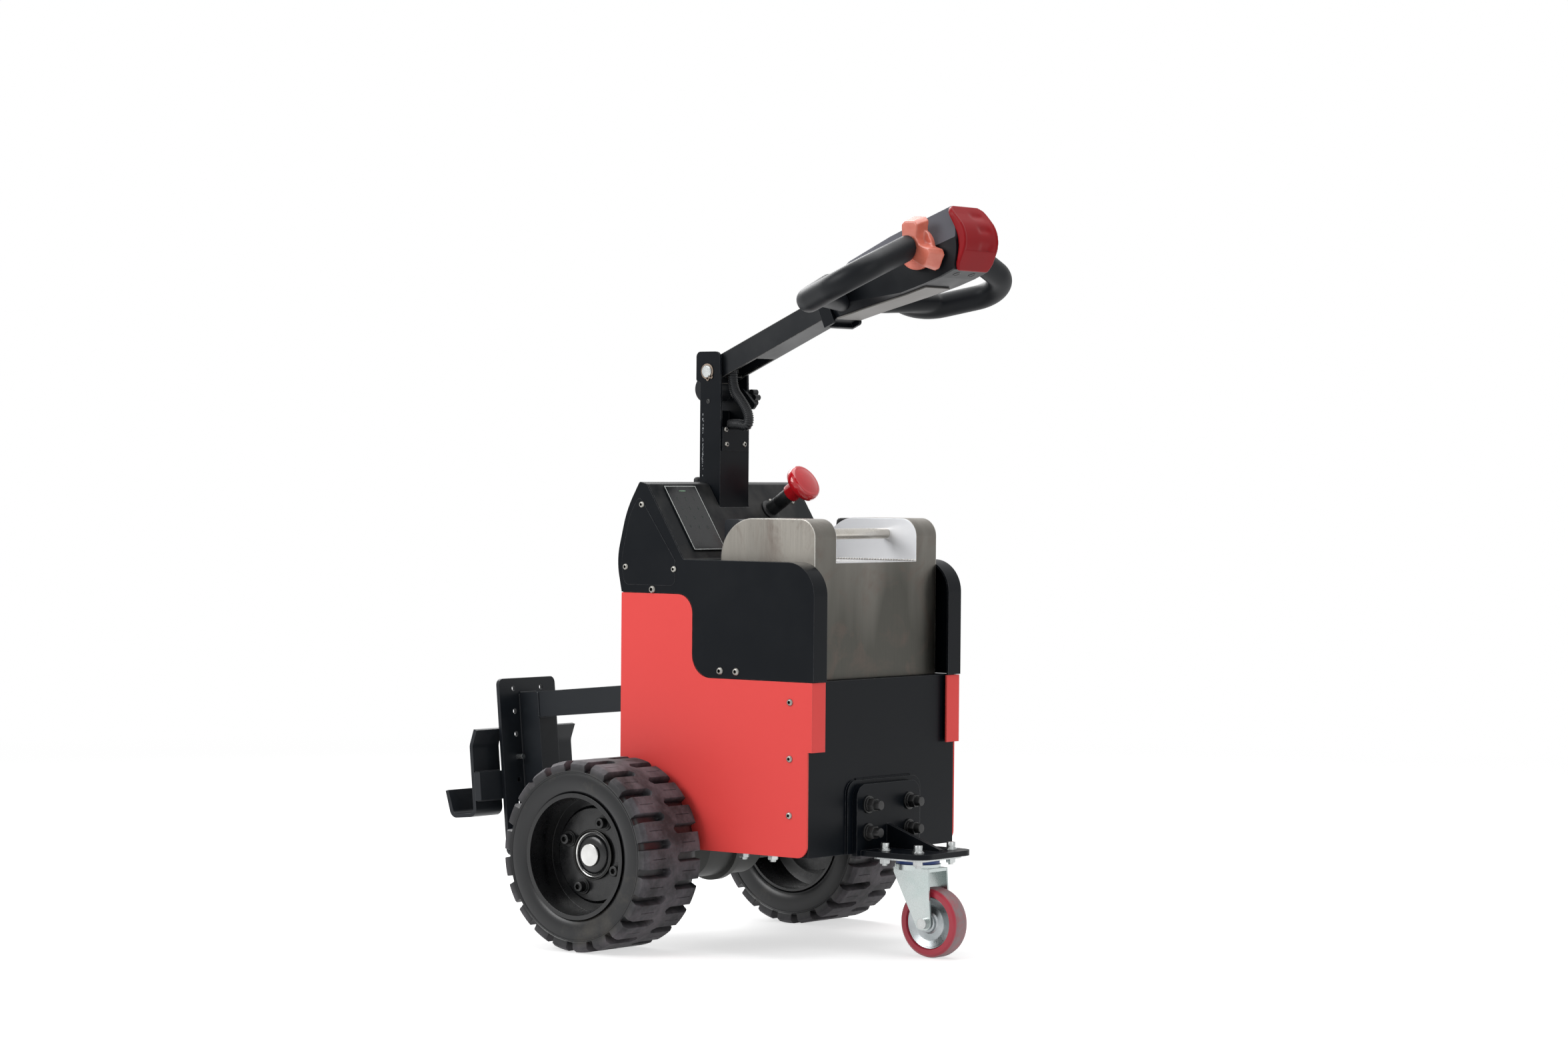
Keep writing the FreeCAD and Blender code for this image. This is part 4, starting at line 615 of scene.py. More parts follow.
def plate_form(corners, radii, out, thick, bevel):
    """A flat plate with rounded corners, from corner points, as a raised form with a bevelled edge."""
    outline = []
    count = len(corners)
    for i in range(count):
        before, here, after = (Vector(corners[(i + k) % count]) for k in (-1, 0, 1))
        a, b = (before - here).normalized(), (after - here).normalized()
        half = a.angle(b) / 2
        cut = radii[i] / math.tan(half)
        heart = here + (a + b).normalized() * (radii[i] / math.sin(half))
        start, end = here + a * cut - heart, here + b * cut - heart
        for k in range(9):
            outline.append(heart + start.normalized().slerp(end.normalized(), k / 8) * radii[i])
    middle = sum(outline, Vector()) / len(outline)
    form = bmesh.new()
    layers = []
    for height, inset in ((0.0, 0.0), (thick - bevel, 0.0), (thick, bevel)):
        layers.append([form.verts.new(p + Vector(out) * height + (middle - p).normalized() * inset)
                       for p in outline])
    skin(form, layers)
    return form


cheek_corners = ((-0.0270, 0.6665), (0.0432, 0.5712), (0.0432, 0.5335), (-0.0560, 0.5335),
                 (-0.0620, 0.5700), (-0.0450, 0.6400))
cheek_radii = (0.006, 0.006, 0.010, 0.012, 0.060, 0.060)
cover_screws = ((-0.0221, 0.6528), (-0.0529, 0.5601), (0.0406, 0.5585))
sheet_screws = ((-0.0009, 0.5277), (0.1297, 0.412), (0.1598, 0.412))
for side, hand in ((-1, "right"), (1, "left")):
    out = (0.0, side, 0.0)
    cheek = [(x, side * (panel_face - 0.0002), z) for x, z in cheek_corners]
    plate = plate_form(cheek, cheek_radii, out, 0.0009, 0.0006)
    settle(plate, "cheek_cover_" + hand, "machine", black_coat)
    screws = bmesh.new()
    for x, z in cover_screws:
        button_screw(screws, (x, side * (panel_face + 0.0004), z), out, 0.0048)
    for x, z in sheet_screws:
        button_screw(screws, (x, side * panel_face, z), out, 0.0058)
    settle(screws, "cheek_screws_" + hand, "machine", screw_zinc, inner=socket_shade)
slope_screws = bmesh.new()
for y in (0.093, 0.145):
    button_screw(slope_screws, on_slope(0.031, y, 0.0), outward, 0.0045)
settle(slope_screws, "slope_screws", "machine", screw_zinc, inner=socket_shade)

film = enamel("printed_glass_film", "#15181A", "#2E3132", 0.10, 0.15, 0.4)
ink = moulded("pale_screen_ink", "#C8CCCA", 0.5, edge_mm=0.1)
faint_ink = moulded("grey_screen_ink", "#3E4644", 0.5, edge_mm=0.1)
green_lamp, tree = blank("green_lamp_lens")
glow = add(tree, "ShaderNodeTexNoise", {"Scale": 900.0, "Detail": 2.0})
tone = add(tree, "ShaderNodeMix", {0: glow, 6: linear("#7FA886"), 7: linear("#9CC4A2")}, data_type="RGBA")
lens = add(tree, "ShaderNodeBsdfPrincipled", {"Base Color": tone.outputs[2], "Roughness": 0.3,
                                              "Emission Color": linear("#8FBF97"),
                                              "Emission Strength": 0.15})
add(tree, "ShaderNodeOutputMaterial", {"Surface": lens})
clad(film, "keypad")
pad_top = 0.0020
pad_d, pad_y = 0.060, -0.108
pad_half_d, pad_half_y = 0.0565, 0.0365


def ink_bar(form, d0, d1, y0, y1):
    """A thin flat bar printed on the key panel, from d0 to d1 down the slope."""
    corners = ((d0, y0), (d1, y0), (d1, y1), (d0, y1))
    levels = (pad_top, pad_top + 0.0003)
    skin(form, [[form.verts.new(on_slope(d, y, o)) for d, y in corners] for o in levels])


border = bmesh.new()
wide = 0.0010
top_d, low_d = pad_d - pad_half_d + wide, pad_d + pad_half_d - wide
near_y, far_y = pad_y - pad_half_y + wide, pad_y + pad_half_y - wide
ink_bar(border, top_d, top_d + wide, near_y, far_y)
ink_bar(border, low_d - wide, low_d, near_y, far_y)
ink_bar(border, top_d + wide, low_d - wide, near_y, near_y + wide)
ink_bar(border, top_d + wide, low_d - wide, far_y - wide, far_y)
settle(border, "key_panel_border", "machine", ink, 20.0)
lamp_bar = bmesh.new()
ink_bar(lamp_bar, 0.0128, 0.0138, pad_y - 0.0065, pad_y + 0.0075)
settle(lamp_bar, "key_panel_lamp", "machine", green_lamp, 20.0)
upright_on_slope = Matrix(((0, 1, 0), -down, outward)).transposed().to_4x4()
first_row, row_step, column_step = 0.027, 0.0165, 0.019
keys = bmesh.new()
for row, line in enumerate(("123", "456", "789", "*0#")):
    for column_at, mark in enumerate(line):
        curve = bpy.data.curves.new("digit", "FONT")
        curve.body = mark
        curve.size = 0.0085
        curve.align_x = "CENTER"
        curve.align_y = "CENTER"
        curve.extrude = 0.0001
        loose = bpy.data.objects.new("digit", curve)
        flat = bpy.data.meshes.new_from_object(loose)
        across = pad_y + column_step * (column_at - 1)
        spot = on_slope(first_row + row_step * row, across, pad_top + 0.0001)
        flat.transform(Matrix.Translation(spot) @ upright_on_slope)
        keys.from_mesh(flat)
        bpy.data.objects.remove(loose)
settle(keys, "key_panel_digits", "machine", faint_ink, 20.0)
black_rubber = moulded("black_moulded_rubber", "#141618", 0.5, edge_mm=0.8)
clad(black_rubber, "cable_gland", "star_knob")


# ---- Emergency stop
# A big mushroom head in glossy red moulded plastic with a rolled rim, on a red neck and a black rubber
# stem that stands square to the console's slope.
stop_red = moulded("glossy_red_acetal", "#C81A24", 0.14, grain_mm=0.3, strength=0.03, coat=0.5, shift=0.04,
                   specular=0.5)
base = on_slope(0.047, 0.080, 0.0)
head = bmesh.new()
turned(head, [(0.0, 0.0470), (0.0128, 0.0470), (0.0138, 0.0478), (0.0140, 0.0490), (0.0140, 0.0640),
              (0.0150, 0.0672), (0.0180, 0.0686), (0.0230, 0.0692), (0.0262, 0.0700), (0.0280, 0.0716),
              (0.0289, 0.0745), (0.0290, 0.0775), (0.0284, 0.0812), (0.0270, 0.0838), (0.0246, 0.0852),
              (0.0232, 0.0855), (0.0222, 0.0854), (0.0214, 0.0856), (0.0160, 0.0872), (0.0090, 0.0883),
              (0.0, 0.0887)], base, outward, 72)
piece = settle(head, "stop_mushroom", "machine", stop_red, 50.0)
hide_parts("emergency_stop_button")
stem = bmesh.new()
turned(stem, [(0.0, 0.0), (0.0165, 0.0), (0.0165, 0.0025), (0.0150, 0.0040), (0.0116, 0.0045),
              (0.0112, 0.0060), (0.0112, 0.0200), (0.0108, 0.0210), (0.0108, 0.0222), (0.0112, 0.0232),
              (0.0112, 0.0440), (0.0100, 0.0465), (0.0, 0.0468)], base, outward, 48)
piece = settle(stem, "stop_stem", "machine", black_rubber)
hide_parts("emergency_stop_stalk")


# ---- Battery pack
# A welded case of brushed stainless sheet with two rounded ears and a tube handle between them: a vertical
# mill grain, grey and straw marks where the welds were rubbed down, and pale corners, partly rubbed and
# partly a painted highlight. Painted shade darkens the foot and the end faces, and the upright face of the
# recess between the ears carries a painted near-white highlight. The grain is drawn about 1 mm wide, coarser
# than real brushing, so that it shows.
mill_grain_mm = 1.1
ear_y = 0.0968
recess_z = 0.5712


def stainless_steel(name, colour, dark, rough, low_z, high_z, painted_recess_highlight):
    """Brushed sheet with painted shade at its foot and on its end faces; the last argument sets how bright
    the painted highlight on the recess between the ears is.
    """
    material, tree = blank(name)
    place = add(tree, "ShaderNodeTexCoord").outputs["Object"]
    spot = add(tree, "ShaderNodeSeparateXYZ", {0: place})
    stretch = add(tree, "ShaderNodeMapping", {"Vector": place, "Scale": (1.0, 1.0, 0.04)})
    lines = add(tree, "ShaderNodeTexNoise", {
        "Vector": stretch, "Scale": grains(mill_grain_mm), "Detail": 5.0, "Roughness": 0.7})
    bands = add(tree, "ShaderNodeMapping", {"Vector": place, "Scale": (9.0, 9.0, 1.6)})
    soft_bands = add(tree, "ShaderNodeTexNoise", {
        "Vector": bands, "Scale": 1.0, "Detail": 3.0, "Roughness": 0.5})
    swirl = add(tree, "ShaderNodeTexNoise", {
        "Vector": place, "Scale": 10.0, "Detail": 5.0, "Roughness": 0.65, "Distortion": 1.6})
    edge, soft = edge_mask(tree, 2.2, 14.0)
    # Painted shade: darker towards the foot, and darker on faces turned to +X, the pack's end faces.
    painted_foot_shade = add(tree, "ShaderNodeMapRange", {0: spot.outputs[2], 1: low_z, 2: high_z, 3: 0.55, 4: 0.0})
    band = add(tree, "ShaderNodeMapRange", {0: soft_bands, 1: 0.35, 2: 0.65, 3: -0.25, 4: 0.25})
    turned_to = add(tree, "ShaderNodeSeparateXYZ", {0: add(tree, "ShaderNodeNewGeometry").outputs["Normal"]})
    end = add(tree, "ShaderNodeMapRange", {0: turned_to.outputs[0], 1: 0.4, 2: 0.95, 3: 0.0, 4: 0.55})
    foot_shade_and_streaks = add(tree, "ShaderNodeMath", {0: painted_foot_shade, 1: band}, operation="ADD")
    painted_shade_and_streaks = add(tree, "ShaderNodeMath", {0: foot_shade_and_streaks, 1: end}, operation="ADD", use_clamp=True)
    base = add(tree, "ShaderNodeMix", {0: painted_shade_and_streaks, 6: linear(colour), 7: linear(dark)}, data_type="RGBA")
    stain = add(tree, "ShaderNodeMapRange", {0: swirl, 1: 0.50, 2: 0.72, 3: 0.0, 4: 0.60})
    stained = add(tree, "ShaderNodeMix", {
        0: stain, 6: base.outputs[2], 7: linear("#685B54")}, data_type="RGBA")
    # Pale rounded edges: partly a painted highlight, partly rubbed wear.
    edge_highlight_and_wear = add(tree, "ShaderNodeMix", {
        0: edge, 6: stained.outputs[2], 7: linear("#DCDAD4")}, data_type="RGBA")
    # Painted highlight: the upright face of the recess between the ears is painted near-white and made less
    # metallic.
    wide = add(tree, "ShaderNodeMath", {0: spot.outputs[1]}, operation="ABSOLUTE")
    between = add(tree, "ShaderNodeMath", {0: wide, 1: ear_y}, operation="LESS_THAN")
    high = add(tree, "ShaderNodeMath", {0: spot.outputs[2], 1: recess_z}, operation="GREATER_THAN")
    recess = add(tree, "ShaderNodeMath", {0: between, 1: high}, operation="MULTIPLY")
    upright = add(tree, "ShaderNodeMapRange", {
        0: turned_to.outputs[2], 1: 0.3, 2: 0.9, 3: painted_recess_highlight, 4: 0.25 * painted_recess_highlight})
    share = add(tree, "ShaderNodeMath", {0: recess, 1: upright}, operation="MULTIPLY")
    with_recess_highlight = add(tree, "ShaderNodeMix", {
        0: share, 6: edge_highlight_and_wear.outputs[2], 7: linear("#F0F2F6")}, data_type="RGBA")
    grain = add(tree, "ShaderNodeMapRange", {0: lines, 1: 0.3, 2: 0.7, 3: rough - 0.08, 4: rough + 0.10})
    gloss = add(tree, "ShaderNodeMix", {0: share, 2: grain, 3: 0.42})
    metallic_share = add(tree, "ShaderNodeMapRange", {0: share, 1: 0.0, 2: 1.0, 3: 1.0, 4: 0.45})
    bump = add(tree, "ShaderNodeBump", {
        "Height": lines, "Strength": 0.22, "Distance": 0.0003, "Normal": soft})
    shader = add(tree, "ShaderNodeBsdfPrincipled", {
        "Base Color": with_recess_highlight.outputs[2], "Metallic": metallic_share, "Roughness": gloss, "Normal": bump})
    add(tree, "ShaderNodeOutputMaterial", {"Surface": shader})
    return material


pack_low, pack_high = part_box("battery_pack")
pack_steel = stainless_steel("brushed_stainless_steel", "#97938C", "#53524D", 0.36, pack_low.z, pack_high.z,
                             painted_recess_highlight=0.9)
clad(pack_steel, "battery_pack")
clad(plated("polished_stainless_tube", "#D2CEC7", 0.22, "#B6B0A6", grain_mm=0.4), "battery_handle")
stitch_y, stitch_z = 0.0957, 0.5730
stitch_long, stitch_step = 0.0034, 0.0050
stitches = bmesh.new()
for i in range(34):
    x = 0.1110 + stitch_step * i
    run_bead(stitches, [(x, stitch_y, stitch_z), (x + stitch_long, stitch_y, stitch_z)], 0.0015, 8)
settle(stitches, "pack_stitch_weld", "machine",
       plated("bright_stitch_weld", "#D8D5CF", 0.30, "#8E8A84"), 60.0)
grey_plastic = moulded("grey_abs", "#6E6B68", 0.42)
clad(grey_plastic, "head_cover")
clad(moulded("dark_connector_nylon", "#22252A", 0.30, specular=0.5), "battery_connector")
knob_low, knob_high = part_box("isolator_knob")
knob = bmesh.new()
knob_axis = Vector(((knob_low.x + knob_high.x) / 2, (knob_low.y + knob_high.y) / 2, knob_low.z))
turned(knob, [(0.0, 0.0), (0.0150, 0.0), (0.0150, 0.0060), (0.0120, 0.0085), (0.0112, 0.0110),
              (0.0112, 0.0360), (0.0135, 0.0385), (0.0148, 0.0410), (0.0150, 0.0500), (0.0142, 0.0560),
              (0.0120, 0.0592), (0.0080, 0.0600), (0.0, 0.0600)], knob_axis, (0, 0, 1), 48)
piece = settle(knob, "isolator_handle", "machine", black_rubber)
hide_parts("isolator_knob")


# ---- Column: cover screws, pivot pin, paint chips and conduit
# A welded box column with two pivot ears, a screwed cover under its cable window, a zinc pin with circlips,
# and a corrugated nylon conduit. Small chips show primer on the column's edge.
cover_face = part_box("column_cover")[1].x
screws = bmesh.new()
for y, z in ((-0.0235, 0.7655), (-0.0215, 0.7435), (0.0205, 0.7437)):
    button_screw(screws, (cover_face, y, z), (1, 0, 0), 0.0042)
settle(screws, "cover_screws", "machine", screw_zinc, inner=socket_shade)
pivot = Vector((-0.018, 0.0, 0.853))
pin = bmesh.new()
turned(pin, [(0.0, -0.0380), (0.0076, -0.0380), (0.0090, -0.0368), (0.0090, 0.0368), (0.0076, 0.0380),
             (0.0, 0.0380)], pivot, (0, 1, 0), 48)
piece = settle(pin, "pivot_pin_turned", "machine", zinc)
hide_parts("tiller_pivot_pin")
circlips = bmesh.new()
for side in (-1, 1):
    face = Vector((pivot.x, side * 0.0345, pivot.z))
    turned(circlips, [(0.0092, 0.0), (0.0116, 0.0), (0.0118, 0.0002), (0.0118, 0.0008), (0.0116, 0.0010),
                      (0.0092, 0.0010)], face, (0, side, 0), 48)
    for eye_x, eye_z in ((0.0010, -0.0118), (0.0085, -0.0085)):
        eye = face + Vector((eye_x, 0.0, eye_z))
        turned(circlips, [(0.0009, 0.0), (0.0025, 0.0), (0.0025, 0.0010), (0.0009, 0.0010), (0.0009, 0.0)],
               eye, (0, side, 0), 20)
piece = settle(circlips, "pivot_circlips", "machine",
               plated("phosphated_spring_steel", "#8A7C70", 0.38, "#5A5049"))
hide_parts("tiller_pivot_pin")
chip_x, chip_y, chip_z = -0.0262, -0.03404, 0.742
noise.seed_set(1)
chips = bmesh.new()
for i in range(34):
    shift = noise.noise_vector(Vector((i * 7.31, 1.7, 4.1)))
    rise = 0.052 * noise.noise(Vector((i * 3.77, 9.2, 0.5))) * 1.9
    spot = Vector((chip_x + 0.0022 * shift.x, chip_y, chip_z + rise))
    wide = 0.0005 + 0.0009 * abs(shift.y)
    tall = 0.0009 + 0.0030 * abs(shift.z)
    ring = []
    for t in [2 * math.pi * k / 9 for k in range(9)]:
        ragged = 1 + 0.4 * math.sin(3 * t + i)
        ring.append(chips.verts.new(spot + Vector((wide * math.cos(t) * ragged, 0.0, tall * math.sin(t)))))
    chips.faces.new(ring)
settle(chips, "column_paint_chips", "machine",
       moulded("chipped_primer", "#84878A", 0.6, edge_mm=0.1))
plug = bmesh.new()
turned(plug, [(0.0, 0.0), (0.0036, 0.0), (0.0036, 0.0004), (0.0030, 0.0010), (0.0018, 0.0012),
              (0.0014, 0.0005), (0.0, 0.0004)], (-0.016, -0.034, 0.808), (0, -1, 0), 32)
settle(plug, "column_plug", "machine", bolt_black)
clad(zinc, "hitch_pivot_pin", "hitch_studs", "caster_plate", "caster_axle")

route = bpy.data.curves.new("conduit_route", "CURVE")
route.dimensions = "3D"
line = route.splines.new("NURBS")
conduit_points = ((0.0086, -0.012, 0.7735), (0.0250, -0.012, 0.7745), (0.0430, -0.012, 0.7695),
                  (0.0460, -0.012, 0.7860), (0.0345, -0.012, 0.8040), (0.0110, -0.012, 0.8290),
                  (0.0130, -0.012, 0.8570))
line.points.add(len(conduit_points) - 1)
for point, spot in zip(line.points, conduit_points):
    point.co = (*spot, 1.0)
line.order_u = 3
line.use_endpoint_u = True
route.resolution_u = 24
loose = bpy.data.objects.new("conduit_route", route)
track = [v.co.copy() for v in bpy.data.meshes.new_from_object(loose).vertices]
bpy.data.objects.remove(loose)


def even(track, step):
    """Points a step apart along a track."""
    spots, left = [track[0]], step
    for a, b in zip(track, track[1:]):
        run = (b - a).length
        while left <= run:
            spots.append(a.lerp(b, left / run))
            left += step
        left -= run
    return spots


conduit = bmesh.new()
rings = []
facets = 20
middle_r, ripple = 0.0073, 0.0007
spots = even(track, 0.0007)
side_way = Vector((0.0, 1.0, 0.0))
for i, spot in enumerate(spots):
    ahead = (spots[min(i + 1, len(spots) - 1)] - spots[max(i - 1, 0)]).normalized()
    third = side_way.cross(ahead).normalized()
    wave = math.cos(math.pi * i / 2.0)
    r = middle_r + ripple * math.copysign(abs(wave) ** 0.5, wave)
    rings.append([conduit.verts.new(spot + side_way * (r * math.cos(t)) + third * (r * math.sin(t)))
                  for t in [2 * math.pi * k / facets for k in range(facets)]])
skin(conduit, rings)
nylon = moulded("black_corrugated_nylon", "#191B1E", 0.38, grain_mm=0.3, strength=0.05, edge_mm=0.2)
form = bpy.data.meshes.new("tiller_conduit_corrugated")
bmesh.ops.recalc_face_normals(conduit, faces=conduit.faces)
for face in conduit.faces:
    face.smooth = True
conduit.to_mesh(form)
conduit.free()
form.materials.append(nylon)
piece = bpy.data.objects.new("conduit_corrugated", form)
bpy.context.scene.collection.objects.link(piece)
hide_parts("tiller_conduit")
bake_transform(piece)


# ---- Control head, grips, throttles and belly switch
# Moulded housings: a faceted nylon head with a grey belly strip, two soft-coated loop grips, and pearly
# salmon thumb throttles. The belly switch is a dark red soft cap with three finger dents.
def worn_round(source, name, voxel_mm, passes, body, material):
    """A CAD node's mesh with its edges rounded as a mould rounds them, in that node's place."""
    piece = bpy.data.objects.new(name, nodes[source].data.copy())
    bpy.context.scene.collection.objects.link(piece)
    whole = bmesh.new()
    whole.from_mesh(piece.data)
    bmesh.ops.remove_doubles(whole, verts=whole.verts, dist=0.00001)
    whole.to_mesh(piece.data)
    whole.free()
    remesh = piece.modifiers.new("remesh", "REMESH")
    remesh.mode = "VOXEL"
    remesh.voxel_size = voxel_mm / 1000
    smooth = piece.modifiers.new("smooth", "SMOOTH")
    smooth.factor = 0.5
    smooth.iterations = passes
    mesh = bpy.data.meshes.new_from_object(piece.evaluated_get(bpy.context.evaluated_depsgraph_get()))
    piece.modifiers.clear()
    piece.data = mesh
    mesh.materials.clear()
    mesh.materials.append(material)
    mesh.shade_smooth()
    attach(piece, body)
    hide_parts(source)
    return piece


# The head's top colour is painted light: its upward facets are painted pale grey as if lit from above.
head_plastic = moulded("black_grained_nylon", "#101317", 0.40, grain_mm=0.8, strength=0.25, edge_mm=1.2,
                       specular=0.20, top="#6C6D76")
grip_rubber = moulded("soft_touch_grip_coat", "#0F1216", 0.44, grain_mm=0.6, strength=0.12, edge_mm=0.8,
                      specular=0.19)
clad(head_plastic, "handle_head")
for hand in ("right", "left"):
    worn_round("grip_loop_" + hand, "grip_" + hand, 1.6, 24, "tiller", grip_rubber)


def salmon_plastic():
    """Pearly salmon polycarbonate: glossy, with pale streaks of light along its rounded facets."""
    material, tree = blank("pearly_salmon_polycarbonate")
    place = add(tree, "ShaderNodeTexCoord").outputs["Object"]
    cloud = add(tree, "ShaderNodeTexNoise", {
        "Vector": place, "Scale": 45.0, "Detail": 3.0, "Distortion": 0.6})
    base = add(tree, "ShaderNodeMix", {
        0: cloud, 6: linear("#BE5540"), 7: linear("#E48A76")}, data_type="RGBA")
    ripple = add(tree, "ShaderNodeTexNoise", {"Vector": place, "Scale": 130.0, "Detail": 2.0})
    bump = add(tree, "ShaderNodeBump", {"Height": ripple, "Strength": 0.1, "Distance": 0.0005})
    shader = add(tree, "ShaderNodeBsdfPrincipled", {"Base Color": base.outputs[2], "Roughness": 0.24,
                                                    "Normal": bump, "Subsurface Weight": 0.15,
                                                    "Subsurface Radius": (0.006, 0.003, 0.002),
                                                    "Coat Weight": 0.3})
    add(tree, "ShaderNodeOutputMaterial", {"Surface": shader})
    return material


worn_round("throttle_butterflies", "throttle_wings", 1.0, 14, "tiller", salmon_plastic())
tilt = math.radians(23.5)
along = Vector((math.cos(tilt), 0.0, math.sin(tilt)))
upward = Vector((-math.sin(tilt), 0.0, math.cos(tilt)))


def on_tiller(s, y, n):
    """A point s along the tiller from its pivot, y across it and n above its axis."""
    return pivot + along * s + Vector((0.0, y, 0.0)) + upward * n


belly_red = moulded("dark_red_soft_pvc", "#8B1118", 0.36, grain_mm=0.5, strength=0.08, edge_mm=1.5,
                    specular=0.13)
belly = worn_round("belly_button", "belly_cap", 1.1, 6, "tiller", belly_red)


def belly_face(n):
    """How far along the tiller the cap's bent outer face stands at height n."""
    return 0.5182 - 0.5 * (n + 0.006) ** 2 / 0.070


for vertex in belly.data.vertices:
    local = vertex.co - pivot
    s, n = local.dot(along), local.dot(upward)
    inside = min(max((0.0375 - abs(local.y)) / 0.0015, 0.0), 1.0)
    lower = 0.0
    for centre in (0.0165, -0.0075, -0.0315):
        reach = math.exp(-((n - centre) / 0.0055) ** 2) * math.exp(-((local.y - 0.012) / 0.014) ** 4)
        lower = max(lower, reach)
    if s > belly_face(n) - 0.004:
        vertex.co -= along * (0.0022 * lower + 0.0007 * inside)
    vertex.co += upward * (0.0030 * min(max((n - 0.020) / 0.014, 0.0), 1.0))
orange_dot = bmesh.new()
turned(orange_dot, [(0.0, 0.0), (0.0050, 0.0), (0.0050, 0.0012), (0.0042, 0.0022), (0.0022, 0.0028),
                    (0.0, 0.0030)], on_tiller(0.330, -0.006, 0.0432), upward, 32)
settle(orange_dot, "head_dot_button", "tiller",
       moulded("orange_button_plastic", "#E2622E", 0.3))
foot_screws = bmesh.new()
for y in (-0.0185, 0.0185):
    turned(foot_screws, [(0.0, -0.0002), (0.0046, -0.0002), (0.0050, 0.0004), (0.0058, 0.0006),
                         (0.0060, 0.0), (0.0060, -0.0004)], on_tiller(0.468, y, -0.0549), -upward, 32)
settle(foot_screws, "head_screws", "tiller", bolt_black)


# ---- Hitch: welds
# Box tube, drilled plate, flat bar and bent hooks, joined by MIG beads whose fine ripple shows through the
# satin black powder coat. The arm droops a little where it rests.
droop = math.radians(5.4)
hitch_pivot = Vector((0.013, 0.0, 0.3715))


def drooped(x, y, z):
    """Where a point of the level hitch lies at rest."""
    dx, dz = x - hitch_pivot.x, z - hitch_pivot.z
    back, high = dx * math.cos(droop) - dz * math.sin(droop), dx * math.sin(droop) + dz * math.cos(droop)
    return Vector((hitch_pivot.x + back, y, hitch_pivot.z + high))


post_front = hitch_pivot.x - 0.383
post_rear = post_front - 0.040
plate_rear = post_rear - 0.006
bar_rear = plate_rear - 0.012
plate_top = 0.415
bar_top = plate_top - 0.143
bar_low = bar_top - 0.044
seams = []
for y in (-0.020, 0.020):
    seams.append([drooped(post_rear + 0.0005, y, 0.153), drooped(post_rear + 0.0005, y, 0.390)])
    seams.append([drooped(post_front, y, 0.3525), drooped(post_front, y, 0.3905)])
seams.append([drooped(post_front, -0.019, 0.3515), drooped(post_front, 0.019, 0.3515)])
seams.append([drooped(post_rear + 0.0005, -0.019, 0.3915), drooped(post_rear + 0.0005, 0.019, 0.3915)])
for z in (bar_top, bar_low):
    seams.append([drooped(plate_rear, -0.062, z), drooped(plate_rear, 0.062, z)])
    for y0, y1 in ((-0.113, -0.057), (0.057, 0.113)):
        seams.append([drooped(bar_rear, y0, z), drooped(bar_rear, y1, z)])
for y in (-0.055, 0.055):
    seams.append([drooped(bar_rear, y, bar_low), drooped(bar_rear, y, bar_top)])
weld("hitch_welds", seams, bead_r, "hitch", painted_light_hitch_coat)


# ---- Caster: bracket bolts, swivel, fork and wheel
# A 100 mm industrial caster: zinc-plated pressed fork, blue-ringed ball race, moulded hub and a polyurethane
# tyre, under an angle bracket held by black socket-head bolts.
upright_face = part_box("caster_bracket")[0].x + 0.008
bracket_heads = bmesh.new()
for y in (-0.049, 0.049):
    for z in (0.180, 0.220):
        spot = Vector((upright_face, y, z))
        washer(bracket_heads, spot, (1, 0, 0), 0.0130, 0.0080, 0.0026)
        washer(bracket_heads, spot + Vector((0.0027, 0, 0)), (1, 0, 0), 0.0105, 0.0080, 0.0020)
        turned(bracket_heads, [(0.0, 0.0048), (0.0104, 0.0048), (0.0104, 0.0049, 1), (0.0104, 0.0135, 1),
                               (0.0096, 0.0145, 1), (0.0075, 0.0145), (0.0072, 0.0160), (0.0072, 0.0225),
                               (0.0066, 0.0238), (0.0, 0.0240)], spot, (1, 0, 0), 30)
piece = settle(bracket_heads, "bracket_bolt_heads", "machine", bolt_black)
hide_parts("bracket_bolts")
caster_axis = Vector((0.359, 0.0, 0.142))
bolt_head = [(0.0, 0.0032), (0.0065, 0.0032), (0.0065, 0.0105), (0.0061, 0.0112), (0.0, 0.0112)]
nut = [(0.0, 0.0), (0.0078, 0.0), (0.0078, 0.0002, 1), (0.0078, 0.0062, 1), (0.0070, 0.0072, 1),
       (0.0040, 0.0072), (0.0038, 0.0100), (0.0, 0.0102)]
plate_bolts = bmesh.new()
for dx in (-0.030, 0.030):
    for dy in (-0.040, 0.040):
        top = caster_axis + Vector((dx, dy, 0.0120))
        washer(plate_bolts, top, (0, 0, 1), 0.0092, 0.0042, 0.0014)
        washer(plate_bolts, top + Vector((0, 0, 0.0015)), (0, 0, 1), 0.0076, 0.0042, 0.0016)
        turned(plate_bolts, bolt_head, top, (0, 0, 1), 30)
        turned(plate_bolts, nut, caster_axis + Vector((dx, dy, 0.0)), (0, 0, -1), 30)
settle(plate_bolts, "caster_plate_bolts", "machine", zinc)
clad(moulded("blue_zinc_dust_seal", "#1F3C78", 0.35, shift=0.15), "caster_bearing")
wheel_axis = Vector((0.389, 0.0, 0.051))
fork_zinc = plated("blue_passivated_zinc", "#C2C9C8", 0.24, "#B4C0BE", grain_mm=0.3)
clad(fork_zinc, "caster_fork")
hub = bmesh.new()
half = [(0.0050, 0.0190), (0.0110, 0.0190), (0.0135, 0.0180), (0.0140, 0.0165), (0.0140, 0.0135),
        (0.0160, 0.0112), (0.0240, 0.0100), (0.0275, 0.0104), (0.0285, 0.0112), (0.0345, 0.0116),
        (0.0352, 0.0122), (0.0372, 0.0128), (0.0378, 0.0120)]
other_half = [(r, -h) for r, h in reversed(half)]
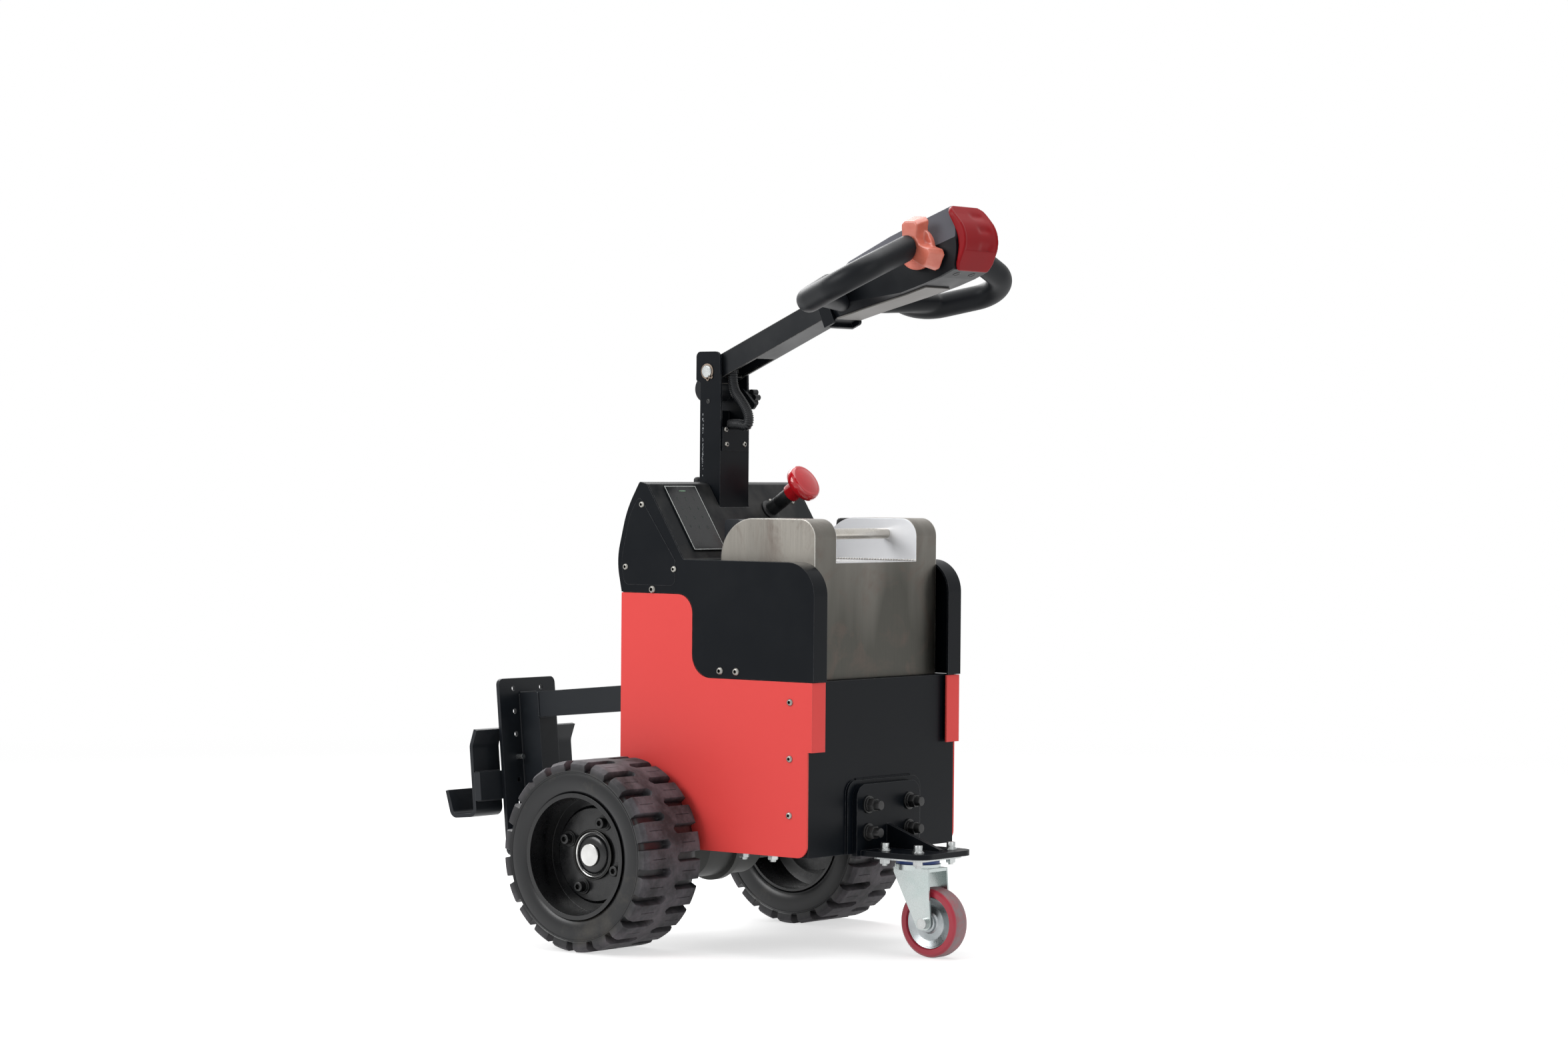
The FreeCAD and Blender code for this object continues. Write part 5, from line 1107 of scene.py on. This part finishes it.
turned(hub, half + [(0.0380, 0.0)] + other_half + half[:1], wheel_axis, (0, 1, 0), 96)
piece = settle(hub, "caster_hub_turned", "caster_wheel",
               plated("zinc_plated_hub_cover", "#B9BEC0", 0.30, "#8E9698"))
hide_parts("caster_hub")


def polyurethane():
    """Cast polyurethane: translucent dark pink on its flanks, with a grey worn running face."""
    material, tree = blank("cast_polyurethane")
    place = add(tree, "ShaderNodeTexCoord").outputs["Object"]
    away = add(tree, "ShaderNodeVectorMath", {0: place, 1: tuple(wheel_axis)}, operation="SUBTRACT")
    spot = add(tree, "ShaderNodeSeparateXYZ", {0: away})
    flat = add(tree, "ShaderNodeCombineXYZ", {0: spot.outputs[0], 2: spot.outputs[2]})
    reach = add(tree, "ShaderNodeVectorMath", {0: flat}, operation="LENGTH")
    wide = add(tree, "ShaderNodeMath", {0: spot.outputs[1]}, operation="ABSOLUTE")
    rolled = add(tree, "ShaderNodeMapRange", {
        0: reach.outputs["Value"], 1: 0.0480, 2: 0.0500, 3: 0.0, 4: 1.0})
    middle = add(tree, "ShaderNodeMapRange", {0: wide, 1: 0.0115, 2: 0.0140, 3: 1.0, 4: 0.0})
    band = add(tree, "ShaderNodeMath", {0: rolled, 1: middle}, operation="MULTIPLY")
    cloud = add(tree, "ShaderNodeTexNoise", {
        "Vector": place, "Scale": 90.0, "Detail": 6.0, "Roughness": 0.7})
    patchy = add(tree, "ShaderNodeMapRange", {0: cloud, 1: 0.25, 2: 0.60, 3: 0.35, 4: 1.0})
    worn = add(tree, "ShaderNodeMath", {0: band, 1: patchy}, operation="MULTIPLY")
    shade = add(tree, "ShaderNodeMix", {
        0: worn, 6: linear("#AC2F40"), 7: linear("#8A7A7C")}, data_type="RGBA")
    gloss = add(tree, "ShaderNodeMapRange", {0: worn, 1: 0.0, 2: 1.0, 3: 0.26, 4: 0.62})
    bump = add(tree, "ShaderNodeBump", {"Height": cloud, "Strength": 0.12, "Distance": 0.0003})
    shader = add(tree, "ShaderNodeBsdfPrincipled", {"Base Color": shade.outputs[2], "Roughness": gloss,
                                                    "Normal": bump, "Subsurface Weight": 0.10,
                                                    "Subsurface Radius": (0.006, 0.002, 0.002)})
    add(tree, "ShaderNodeOutputMaterial", {"Surface": shader})
    return material


clad(polyurethane(), "caster_tread")


# ---- Last lines
bpy.context.scene.view_settings.view_transform = "Standard"
